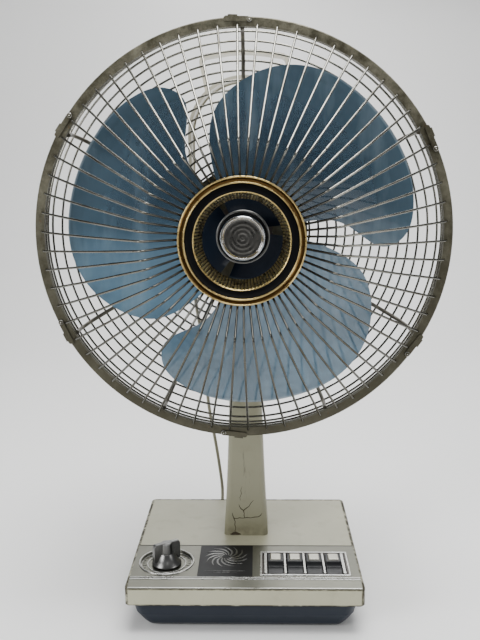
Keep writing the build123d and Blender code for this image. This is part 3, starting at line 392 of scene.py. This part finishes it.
SLOT_FINISH = {
    "cream_paint": CREAM, "tub_plastic": TUB, "rubber_black": RUBBER, "plate_steel": PLATE,
    "screw_steel": SCREW, "panel_aluminium": PANEL, "label_black": LABEL, "key_black": KEY,
    "case_phenolic": PHENOLIC, "knob_metal": KNOB, "capacitor_grey": CAPACITOR, "cast_zinc": ZINC,
    "bell_aluminium": BELL, "lamination_steel": LAMINATION, "copper_winding": COPPER,
    "bronze_bush": BRONZE, "motor_cover_cream": COVER, "handle_cream": HANDLE, "guard_wire": WIRE,
    "guard_rib": RIB, "rim_steel": RIM, "badge_gold": GOLD, "badge_black": BADGE_BLACK,
    "shaft_steel": SHAFT, "blade_blue": BLADE, "nut_chrome": CHROME, "lead_vinyl": VINYL,
}


def finish_cad_nodes():
    """Every carried-over CAD node takes the finish of its slot in the record, and the column its own darker cream,
    as painted shade.
    """
    for row in frame["record"]["subparts"]:
        node = frame["nodes"][row["node"]]
        node.data.materials.clear()
        node.data.materials.append(SLOT_FINISH[row["material_slot"]])
    frame["nodes"]["column_shell"].data.materials[0] = SHADED_COLUMN_CREAM


finish_cad_nodes()


# ---------------------------------------------------------------- mesh helpers
def piece(name, mesh, finish, body, replaces=(), bevel=0.0):
    """Links a mesh as a smooth-shaded piece of the object, riding on a body where one is given."""
    made = bpy.data.objects.new(name, mesh)
    SCENE.collection.objects.link(made)
    made.data.materials.append(finish)
    if bevel:
        edges = made.modifiers.new("edges", "BEVEL")
        edges.width = bevel
        edges.segments = 3
        edges.limit_method = "ANGLE"
        edges.angle_limit = radians(40)
        edges.harden_normals = True
    for polygon in made.data.polygons:
        polygon.use_smooth = True
    if body:
        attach(made, body)
    if replaces:
        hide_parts(*replaces)
    return made


def mesh_of(vertices, faces):
    """A mesh with its faces turned outwards."""
    mesh = bpy.data.meshes.new("shape")
    mesh.from_pydata([tuple(v) for v in vertices], [], faces)
    shape = bmesh.new()
    shape.from_mesh(mesh)
    bmesh.ops.recalc_face_normals(shape, faces=shape.faces)
    shape.to_mesh(mesh)
    shape.free()
    return mesh


def ring_faces(steps, count):
    """The faces that join closed outlines of count points, one at each step, into a whole ring."""
    faces = []
    for step in range(steps):
        here, there = step * count, (step + 1) % steps * count
        for index in range(count):
            after = (index + 1) % count
            faces.append((here + index, here + after, there + after, there + index))
    return faces


# ---------------------------------------------------------------- motor lead
LEAD_D = 0.004
LEAD_UPPER = [(-0.04016, 0.084, 0.36724), (-0.052, 0.086, 0.354), (-0.0605, 0.090, 0.336),
              (-0.0612, 0.0935, 0.3135), (-0.057, 0.096, 0.290)]
LEAD_LOWER = [(-0.057, 0.096, 0.290), (-0.052, 0.099, 0.262), (-0.0505, 0.100, 0.232),
              (-0.049, 0.102, 0.200), (-0.046, 0.107, 0.168), (-0.041, 0.114, 0.138),
              (-0.0375, 0.124, 0.108), (-0.035, 0.1355, 0.080), (-0.0332, 0.1412, 0.060),
              (-0.033, 0.1384, 0.0485), (-0.033, 0.129, 0.0424), (-0.033, 0.1171, 0.042)]


def smooth_line(route):
    """The points of the NURBS curve whose control points are the route."""
    curve = bpy.data.curves.new("route", "CURVE")
    curve.dimensions = "3D"
    curve.resolution_u = 12
    spline = curve.splines.new("NURBS")
    spline.points.add(len(route) - 1)
    for point, place in zip(spline.points, route):
        point.co = (*place, 1)
    spline.order_u = 3
    spline.use_endpoint_u = True
    holder = bpy.data.objects.new("route", curve)
    line = bpy.data.meshes.new_from_object(holder)
    points = [v.co.copy() for v in line.vertices]
    bpy.data.objects.remove(holder)
    bpy.data.meshes.remove(line)
    return points


def tube_mesh(points, radius, sides=16):
    """A tube along points. Its cross-section is carried along without twist."""
    last = len(points) - 1
    vertices, faces = [], []
    side = None
    for index, point in enumerate(points):
        tangent = (points[min(index + 1, last)] - points[max(index - 1, 0)]).normalized()
        if side is None:
            side = tangent.orthogonal().normalized()
        side = (side - tangent * side.dot(tangent)).normalized()
        up = tangent.cross(side)
        for step in range(sides):
            angle = 2 * pi * step / sides
            vertices.append(point + radius * (cos(angle) * side + sin(angle) * up))
    for index in range(last):
        here, there = index * sides, (index + 1) * sides
        for step in range(sides):
            after = (step + 1) % sides
            faces.append((here + step, here + after, there + after, there + step))
    faces += [tuple(range(sides)), tuple(range(last * sides, (last + 1) * sides))]
    return mesh_of(vertices, faces)


def make_lead(name, route):
    """One half of the motor lead: a tube along a smooth route between the bodies at its two ends."""
    line = smooth_line(route)
    lead = piece(name, tube_mesh(line, LEAD_D / 2), VINYL, None, [name.replace("vinyl", "motor")])
    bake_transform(lead)


make_lead("vinyl_lead_upper", LEAD_UPPER)
make_lead("vinyl_lead_lower", LEAD_LOWER)


# ---------------------------------------------------------------- turned pieces on the fan's axis
BADGE_AHEAD = 0.0714        # from the plane of the guard's rim forward to the badge ring's back
RIM_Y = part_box("badge_ring")[1].y + BADGE_AHEAD
PINHOLE = 0.0001            # a turned outline starts and ends this far from its axis


def lathe(outline, segments=144, flute=None):
    """A closed outline of (distance in front of the rim plane, radius), turned about the fan's axis.

    flute(step, forward, radius) gives the radius at that step round the axis.
    """
    vertices = []
    for step in range(segments):
        angle = 2 * pi * step / segments
        for forward, radius in outline:
            r = flute(step, forward, radius) if flute else radius
            vertices.append((r * cos(angle), RIM_Y - forward, AXIS_Z + r * sin(angle)))
    return mesh_of(vertices, ring_faces(segments, len(outline)))


def bead(forward, radius, size, points=10):
    """The outline of a round bead that stands on a face, with a flat back."""
    return ([(forward - size, radius - size), (forward - size, radius + size)]
            + [(forward + size * sin(pi * i / points), radius + size * cos(pi * i / points))
               for i in range(points + 1)])


def make_badge():
    """Two gold beads with a brown groove, a black ring, and the fluted gold funnel, its flutes' valleys a dark
    copy of the gold as painted shade.
    """
    low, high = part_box("badge_ring")
    face = RIM_Y - low.y
    back = RIM_Y - high.y
    outer = high.x
    seam = 0.0528           # radius where the gold band meets the black ring
    band = [(back, seam), (back, outer - 0.0012), (back + 0.001, outer), (face - 0.0016, outer),
            (face - 0.001, outer - 0.0008), (face - 0.001, seam)]
    piece("badge_band", lathe(band), GOLD, "head", ["badge_ring"], bevel=0.0003)
    for name, radius in (("badge_bead_outer", outer - 0.0009), ("badge_bead_inner", 0.0536)):
        piece(name, lathe(bead(face - 0.001, radius, 0.0007)), GOLD, "head")
    groove = [(face - 0.0012, 0.0545), (face - 0.0012, outer - 0.0017), (face - 0.0006, outer - 0.0019),
              (face - 0.0009, outer - 0.0030), (face - 0.0006, 0.0547)]
    piece("badge_groove", lathe(groove), BROWN, "head")

    flat = [(back, 0.0452), (back, seam), (back + 0.0022, seam), (back + 0.0024, 0.0524),
            (back + 0.0024, 0.0456), (back + 0.0022, 0.0452)]
    piece("badge_black_ring", lathe(flat), BADGE_BLACK, "head", ["badge_disc"])
    piece("badge_inner_bead", lathe(bead(back + 0.0016, 0.0455, 0.0008)), GOLD, "head")

    flutes, per_flute = 84, 8       # per_flute steps round the axis make one flute
    flute_depth, plain_radius = 0.0011, 0.0452
    wall_low, wall_high = 0.047, 0.0722

    def flute(step, forward, radius):
        deep = min(1.0, max(0.0, (wall_high - forward) / 0.0015))
        deep *= min(1.0, max(0.0, (forward - wall_low) / 0.001))
        return radius + flute_depth * deep * abs(sin(pi * step / per_flute)) * (radius < plain_radius)

    rows = 12
    wall = [(wall_high - (wall_high - wall_low) * i / rows, 0.0444 - 0.0062 * (i / rows) ** 0.8)
            for i in range(rows + 1)]
    funnel = [(0.0725, 0.0451), *wall, (wall_low - 0.001, 0.0396), (0.062, 0.0475), (0.066, 0.0556),
              (0.0684, 0.0556), (0.0684, 0.0456)]
    made = piece("badge_fluted_funnel", lathe(funnel, flutes * per_flute, flute), FLUTE_CREST, "head",
                 ["badge_funnel"])
    made.data.materials.append(FLUTE_VALLEY_SHADE)
    # The middle steps of each flute take the dark gold, painted shade in the valleys.
    for polygon in made.data.polygons:
        step, place = divmod(polygon.index, len(funnel))
        if 0 < place <= rows and 3 <= step % per_flute <= 5:
            polygon.material_index = 1


def make_spinner():
    """The chrome nut: turned rings on its face, a bright lip, and a knurled side on a black collar."""
    low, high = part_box("spinner_nut")
    face, back, radius = RIM_Y - low.y, RIM_Y - high.y, high.x
    rings, sunk, crest, half = 5, face - 0.0016, face - 0.00135, 0.0008
    turned_face = [(sunk, PINHOLE)]
    for ring in range(rings):
        r = 0.0012 + ring * (radius - 0.0052) / (rings - 1)
        turned_face += [(sunk, r - half), (crest, r), (sunk, r + half)]
    lip = [(face - 0.0015, radius - 0.0034), (face - 0.0002, radius - 0.0028), (face, radius - 0.0022),
           (face - 0.0004, radius - 0.0012), (face - 0.002, radius - 0.0004), (face - 0.003, radius)]
    outline = [(back, PINHOLE), *turned_face, *lip, (back + 0.002, radius), (back, radius - 0.001)]

    def knurl(step, forward, r):
        on_side = r > radius - 0.0005 and back + 0.001 < forward < face - 0.0028
        return r - 0.0005 * (step % 4 < 2) * on_side

    piece("spinner_nut_turned", lathe(outline, 288, knurl), CHROME, "rotor", ["spinner_nut"])
    low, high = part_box("hub_collar")
    front, behind, wide = RIM_Y - low.y, RIM_Y - high.y, high.x
    collar = [(behind, 0.0221), (front, 0.0221), (front, wide - 0.0028), (front - 0.0006, wide - 0.002),
              (behind, wide - 0.002)]
    piece("hub_collar_black", lathe(collar), BADGE_BLACK, "rotor", ["hub_collar"])
    edge = [(behind, wide - 0.0019), (front - 0.0004, wide - 0.0019), (front, wide - 0.0014),
            (front, wide - 0.0005), (front - 0.0005, wide), (behind, wide)]
    piece("hub_collar_edge", lathe(edge), KNOB, "rotor")


make_badge()
make_spinner()


# ---------------------------------------------------------------- base
BEZEL = 0.0008              # how far the rims of the dish and the window stand above the panel
PANEL_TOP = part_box("control_panel")[1].z - BEZEL
DISH_DEPTH = 0.0025


def slab(low, high, top_in=(0.0, 0.0)):
    """A block between two corners, its top narrower by top_in on each side."""
    (x0, y0, z0), (x1, y1, z1) = low, high
    in_x, in_y = top_in
    vertices = [(x0, y0, z0), (x1, y0, z0), (x1, y1, z0), (x0, y1, z0),
                (x0 + in_x, y0 + in_y, z1), (x1 - in_x, y0 + in_y, z1),
                (x1 - in_x, y1 - in_y, z1), (x0 + in_x, y1 - in_y, z1)]
    faces = [(3, 2, 1, 0), (4, 5, 6, 7), (0, 1, 5, 4), (1, 2, 6, 5), (2, 3, 7, 6), (3, 0, 4, 7)]
    return mesh_of(vertices, faces)


def prism(profile, start, end, axis="X"):
    """An outline of (y, z) points drawn out along X, or of (x, z) points along Y."""
    count = len(profile)
    if axis == "X":
        vertices = [(x, y, z) for x in (start, end) for y, z in profile]
    else:
        vertices = [(x, y, z) for y in (start, end) for x, z in profile]
    faces = [(i, (i + 1) % count, count + (i + 1) % count, count + i) for i in range(count)]
    faces += [tuple(range(count)), tuple(range(count, 2 * count))]
    return mesh_of(vertices, faces)


def make_keys():
    """Each key: a black rocker with a finger step and a silver cap on its crest."""
    for number in range(1, 5):
        low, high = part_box(f"key_{number}")
        near, far, crest = low.y, high.y, high.z
        foot = crest - 0.012
        profile = [(near, foot), (far, foot), (far, crest - 0.0055), (near + 0.034, crest - 0.0045),
                   (near + 0.0335, crest), (near + 0.0155, crest), (near + 0.0150, crest - 0.0024),
                   (near + 0.0125, crest - 0.0050), (near, crest - 0.0062)]
        body = f"key_{number}"
        piece(f"key_{number}_rocker", prism(profile, low.x, high.x), KEY, body, [f"key_{number}"],
              bevel=0.0007)
        cap = slab((low.x + 0.0022, near + 0.0180, crest - 0.0004),
                   (high.x - 0.0022, near + 0.0318, crest + 0.0012), (0.0008, 0.0008))
        piece(f"key_{number}_cap", cap, CAP, body, bevel=0.0005)
        stem_low, stem_high = (low.x + 0.0032, near + 0.02, low.z), (high.x - 0.0032, near + 0.024, foot)
        piece(f"key_{number}_stem", slab(stem_low, stem_high), KEY, body, bevel=0.0003)


def make_window():
    """Bright strips between the keys, and a fine raised border round the window."""
    low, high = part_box("key_frame")
    keys = [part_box(f"key_{number}") for number in range(1, 5)]
    side, end_in, clear = 0.0042, 0.0040, 0.0009
    gaps = [(low.x + side, keys[0][0].x - clear)]
    gaps += [(a[1].x + clear, b[0].x - clear) for a, b in zip(keys, keys[1:])]
    gaps += [(keys[-1][1].x + clear, high.x - side)]
    for number, (start, end) in enumerate(gaps):
        strip = slab((start, low.y + end_in, PANEL_TOP - 0.002), (end, high.y - end_in, PANEL_TOP + 0.0012))
        piece(f"key_strip_{number + 1}", strip, TRIM, "base", bevel=0.0003)
    width, slope, crest = 0.0016, 0.0004, PANEL_TOP + 0.0011
    vertices = []
    for inset, z in ((-slope, PANEL_TOP), (0.0, crest), (width, crest), (width + slope, PANEL_TOP)):
        vertices += [(low.x + inset, low.y + inset, z), (high.x - inset, low.y + inset, z),
                     (high.x - inset, high.y - inset, z), (low.x + inset, high.y - inset, z)]
    piece("window_border", mesh_of(vertices, ring_faces(4, 4)), TRIM, "base", bevel=0.0003)


def make_label():
    """A black plate with a swirl of silver vanes and two plain rules below it."""
    low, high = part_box("label_plate")
    top = high.z
    piece("label_plate_black", slab(low, high), LABEL, "base", ["label_plate"], bevel=0.0004)
    centre = Vector(((low.x + high.x) / 2, low.y + 0.62 * (high.y - low.y), top + 0.00012))
    vertices, faces = [], []
    vanes, steps = 13, 16
    eye, reach = 0.004, 0.0235      # the swirl's inner and outer radius
    sweep, lean = 1.25, 0.9         # how far a vane turns on its way out, and its own slant
    for vane in range(vanes):
        first = len(vertices)
        for step in range(steps + 1):
            share = step / steps
            r = eye + (reach - eye) * share
            angle = 2 * pi * vane / vanes + sweep * share
            half = 0.0010 * sin(pi * min(1, 0.12 + 0.88 * share)) ** 0.8 + 0.0001
            along = Vector((cos(angle + lean), sin(angle + lean), 0))
            across = Vector((-along.y, along.x, 0))
            middle = centre + Vector((r * cos(angle), r * sin(angle), 0))
            vertices += [middle - half * across, middle + Vector((0, 0, 0.00025)), middle + half * across]
        for step in range(steps):
            here = first + 3 * step
            faces += [(here, here + 1, here + 4, here + 3), (here + 1, here + 2, here + 5, here + 4)]
    piece("label_swirl", mesh_of(vertices, faces), SWIRL, "base")
    rule_y = low.y + 0.013
    for name, y, half_w in (("label_rule_1", rule_y, 0.021), ("label_rule_2", rule_y - 0.003, 0.013)):
        rule = slab((centre.x - half_w, y, top - 0.0001), (centre.x + half_w, y + 0.0006, top + 0.0002))
        piece(name, rule, SWIRL, "base")


def disc_mesh(centre, outline, segments=96, wave=None):
    """A closed outline of (radius, height), turned about an upright axis through centre.

    wave(step, radius) gives the radius at that step round the axis.
    """
    vertices = []
    for step in range(segments):
        angle = 2 * pi * step / segments
        for radius, z in outline:
            r = wave(step, radius) if wave else radius
            vertices.append((centre[0] + r * cos(angle), centre[1] + r * sin(angle), z))
    return mesh_of(vertices, ring_faces(segments, len(outline)))


def make_timer():
    """The timer's knob, a flared skirt with a tall wing, and the rings and marks of its dish."""
    low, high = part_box("timer_knob")
    middle = ((low.x + high.x) / 2, (low.y + high.y) / 2)
    radius = (high.x - low.x) / 2
    top = high.z
    floor = PANEL_TOP - DISH_DEPTH
    skirt_low = floor + 0.001
    skirt = [(PINHOLE, skirt_low), (radius - 0.0006, skirt_low), (radius, skirt_low + 0.0006),
             (radius - 0.0004, skirt_low + 0.002), (radius - 0.0042, skirt_low + 0.0055),
             (radius - 0.0068, skirt_low + 0.010), (0.0078, skirt_low + 0.0125),
             (PINHOLE, skirt_low + 0.0125)]
    piece("timer_skirt", disc_mesh(middle, skirt), KNOB, "timer_knob", ["timer_knob"],
          bevel=0.0003)
    boss = [(PINHOLE, skirt_low + 0.01), (0.0066, skirt_low + 0.01), (0.006, top - 0.0012),
            (0.005, top - 0.0004), (PINHOLE, top - 0.0004)]
    piece("timer_boss", disc_mesh(middle, boss, 48), KNOB, "timer_knob", bevel=0.0004)
    turn = Matrix.Translation((*middle, 0)) @ Matrix.Rotation(radians(32), 4, "Z")
    half = radius - 0.0004
    wing = prism([(-half, skirt_low + 0.0045), (half, skirt_low + 0.0045), (half, top - 0.003),
                  (half - 0.002, top), (-half + 0.002, top), (-half, top - 0.003)], -0.0026, 0.0026, "Y")
    wing.transform(turn)
    piece("timer_wing", wing, KNOB, "timer_knob", bevel=0.0008)
    pointer = slab((0.0065, -0.0006, top - 0.0004), (half - 0.0015, 0.0006, top + 0.0002))
    pointer.transform(turn)
    piece("timer_pointer", pointer, CAP, "timer_knob", bevel=0.0002)
    spindle = [(PINHOLE, low.z), (0.0029, low.z), (0.0029, skirt_low + 0.001), (PINHOLE, skirt_low + 0.001)]
    piece("timer_spindle", disc_mesh(middle, spindle, 32), SHAFT, "timer_knob")

    for number, ring_r in enumerate((0.0272, 0.0206)):
        ring = [(ring_r - 0.0007, floor), (ring_r + 0.0007, floor), (ring_r + 0.0004, floor + 0.0009),
                (ring_r - 0.0004, floor + 0.0009)]
        piece(f"dish_ring_{number + 1}", disc_mesh(middle, ring, 120), TRIM, "base", bevel=0.0002)
    lip = [(0.0279, PANEL_TOP - 0.0005), (0.0300, PANEL_TOP - 0.0005), (0.0298, PANEL_TOP + 0.0009),
           (0.0288, PANEL_TOP + 0.0012), (0.0282, PANEL_TOP + 0.0006)]
    piece("dish_lip", disc_mesh(middle, lip, 144), TRIM, "base", bevel=0.0002)
    marks, mark_end = 25, 0.0258
    for number in range(marks):
        angle = radians(240 - 300 * number / (marks - 1))
        long_mark = number % 4 == 0
        start = 0.0215 if long_mark else 0.0232
        half_w = 0.00035 if long_mark else 0.00022
        mark = slab((start, -half_w, floor - 0.0001), (mark_end, half_w, floor + 0.00025))
        mark.transform(Matrix.Translation((*middle, 0)) @ Matrix.Rotation(angle, 4, "Z"))
        piece(f"dish_mark_{number + 1}", mark, KEY, "base")


def make_panel_trim():
    """Bright mouldings along the panel's fold and front, and a dark joint along its back."""
    low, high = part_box("control_panel")
    fold = low.y + 0.016
    left, right = low.x + 0.0004, high.x - 0.0004

    def strip(name, y, z, half, height, finish, slot):
        profile = [(y - half, z - 0.0004), (y + half, z - 0.0004), (y + 0.6 * half, z + 0.7 * height),
                   (y, z + height), (y - 0.6 * half, z + 0.7 * height)]
        piece(name, prism(profile, left, right), finish, "base", bevel=0.0001)

    strip("panel_moulding_rear", fold + 0.0028, PANEL_TOP, 0.0010, 0.0008, TRIM, "panel_aluminium")
    strip("panel_moulding_groove", fold + 0.0009, PANEL_TOP, 0.0006, 0.0002, KEY, "key_black")
    strip("panel_moulding_fold", fold - 0.0006, PANEL_TOP, 0.0009, 0.0006, TRIM, "panel_aluminium")
    strip("panel_moulding_front", low.y + 0.0012, low.z + 0.0012, 0.0011, 0.0007, TRIM, "panel_aluminium")
    strip("panel_joint_rear", high.y - 0.0004, PANEL_TOP, 0.0006, 0.0004, KEY, "key_black")


make_keys()
make_window()
make_label()
make_timer()
make_panel_trim()


# ---------------------------------------------------------------- column
def make_cracks():
    """Cracks in the paint low on the column's front, and a rusty chip at its foot.

    Each is a line of (across, height above the foot, half width) in millimetres, laid on the column's face.
    """
    column = frame["nodes"]["column_shell"]
    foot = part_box("column_shell")[0].z
    inside = column.matrix_world.inverted()
    ahead = 0.2             # the rays start this far in front of the column
    backwards = inside.to_3x3() @ Vector((0, 1, 0))
    lines = [
        [(-8.2, 37.0, 0.15), (-7.6, 34.6, 0.4), (-5.9, 31.9, 0.5), (-2.9, 29.7, 0.7), (0.5, 32.6, 0.5),
         (3.4, 34.6, 0.4), (5.6, 38.4, 0.35), (8.6, 41.8, 0.15)],
        [(-2.9, 29.7, 0.6), (-2.1, 26.2, 0.35), (-2.3, 23.8, 0.45), (-1.6, 21.4, 0.3)],
        [(-16.0, 27.2, 0.15), (-15.4, 24.0, 0.5), (-14.2, 20.6, 0.6), (-10.4, 20.1, 0.4), (-7.8, 21.0, 0.5),
         (-3.6, 20.6, 0.35), (1.2, 21.4, 0.5), (5.4, 20.9, 0.35), (9.8, 21.9, 0.5), (14.2, 22.2, 0.4),
         (16.8, 23.8, 0.5), (18.6, 26.8, 0.15)],
        [(-14.2, 20.6, 0.5), (-12.6, 16.4, 0.4), (-13.1, 12.7, 0.5), (-12.0, 9.2, 0.35), (-12.9, 5.2, 0.4)],
        [(-4.4, 58.0, 0.12), (-6.0, 53.5, 0.25), (-5.2, 49.6, 0.3), (-7.0, 45.0, 0.25), (-6.4, 41.5, 0.12)],
        [(-18.6, 1.6, 0.3), (-16.8, 1.5, 1.0), (-14.6, 2.2, 1.7), (-12.4, 2.8, 2.0), (-10.2, 2.1, 1.6),
         (-8.0, 1.7, 1.1), (-5.8, 1.4, 0.3)],
    ]
    for number, line in enumerate(lines):
        vertices, faces = [], []
        for index, (across, height, half) in enumerate(line):
            before, after = line[max(index - 1, 0)], line[min(index + 1, len(line) - 1)]
            run = Vector((after[0] - before[0], 0, after[1] - before[1])).normalized()
            sideways = Vector((-run.z, 0, run.x))
            for side in (-1, 0, 1):
                spot = Vector((across, 0, height)) / 1000 + Vector((0, -ahead, foot))
                spot += sideways * side * half / 1000
                _, place, normal, _ = column.ray_cast(inside @ spot, backwards)
                lift = 0.00018 if side == 0 else 0.00003
                vertices.append(column.matrix_world @ (place + normal * lift))
            if index:
                here, there = 3 * index - 3, 3 * index
                faces += [(here, there, there + 1, here + 1), (here + 1, there + 1, there + 2, here + 2)]
        piece(f"column_crack_{number + 1}", mesh_of(vertices, faces), CRACK, "base")


make_cracks()


# ---------------------------------------------------------------- head: rivets and knob
def make_rivets():
    """A domed rivet on each clip's pivot."""
    for number in range(1, 7):
        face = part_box(f"clip_lever_{number}")[0].y
        joint = next(j for j in frame["joints"] if j["name"] == f"clip_{number}_swing")
        x, _, z = joint["pos_m"]
        dome = [(PINHOLE, 0.0), (0.0026, 0.0), (0.0024, 0.0006), (0.0016, 0.0012), (PINHOLE, 0.0015)]
        mesh = disc_mesh((0, 0), dome, 24)
        mesh.transform(Matrix.Translation((x, face + 0.0014, z)) @ Matrix.Rotation(pi / 2, 4, "X"))
        piece(f"clip_rivet_{number}", mesh, SCREW, f"clip_{number}")


def make_clutch_knob():
    """The oscillation knob: a ribbed button on a steel stem."""
    low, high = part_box("clutch_knob")
    middle = ((low.x + high.x) / 2, (low.y + high.y) / 2)
    radius = (high.x - low.x) / 2
    foot = high.z - 0.013
    outline = [(PINHOLE, foot), (radius - 0.0008, foot), (radius, foot + 0.0008), (radius, high.z - 0.0026),
               (radius - 0.0008, high.z - 0.0008), (radius - 0.0026, high.z), (PINHOLE, high.z - 0.0004)]

    def ribs(step, r):
        return r - 0.0005 * (step % 4 < 2) * (r > radius - 0.0004)

    piece("clutch_button", disc_mesh(middle, outline, 96, ribs), PHENOLIC, "clutch_knob", ["clutch_knob"])
    stem = [(PINHOLE, low.z), (0.0024, low.z), (0.0024, foot + 0.001), (PINHOLE, foot + 0.001)]
    piece("clutch_stem", disc_mesh(middle, stem, 32), SHAFT, "clutch_knob")


make_rivets()
make_clutch_knob()


# ---------------------------------------------------------------- floor and light
def make_stage():
    """A pale floor that curves up behind, and soft lights from above and both sides."""
    reach, rise, curve_r = 3.0, 2.6, 0.9
    front, bend = -2.0, 1.2
    outline = [(front, 0.0)]
    for step in range(13):
        angle = pi / 2 * step / 12
        outline.append((bend + curve_r * sin(angle), curve_r * (1 - cos(angle))))
    outline.append((bend + curve_r, rise))
    vertices = [(x, y, z) for y, z in outline for x in (-reach, reach)]
    faces = [(2 * i, 2 * i + 1, 2 * i + 3, 2 * i + 2) for i in range(len(outline) - 1)]
    paper = Finish("paper", (0.95, 0.95, 0.94), 0.7)
    paper.relief(paper.grain(400), 0.0001)
    floor = bpy.data.objects.new("floor", mesh_of(vertices, faces))
    floor.data.materials.append(paper.mat)
    for polygon in floor.data.polygons:
        polygon.use_smooth = True
    SCENE.collection.objects.link(floor)

    for name, place, aim, size, power in (
            ("overhead", (0.15, -0.35, 1.75), (0, 0, 0.25), 0.9, 36),
            ("left_window", (-1.6, -1.3, 1.0), (0, 0, 0.3), 0.8, 26),
            ("right_fill", (1.7, -0.9, 0.6), (0, 0, 0.3), 0.8, 9),
            ("back_glow", (0.2, 1.3, 1.6), (0, 0.6, 0.3), 1.4, 22)):
        lamp = bpy.data.lights.new(name, "AREA")
        lamp.size = size
        lamp.energy = power
        holder = bpy.data.objects.new(name, lamp)
        holder.location = place
        holder.rotation_euler = (Vector(aim) - Vector(place)).to_track_quat("-Z", "Y").to_euler()
        SCENE.collection.objects.link(holder)
    world = bpy.data.worlds.new("studio")
    world.use_nodes = True
    background = world.node_tree.nodes["Background"]
    background.inputs["Color"].default_value = (0.86, 0.88, 0.9, 1)
    background.inputs["Strength"].default_value = 0.2
    SCENE.world = world


make_stage()
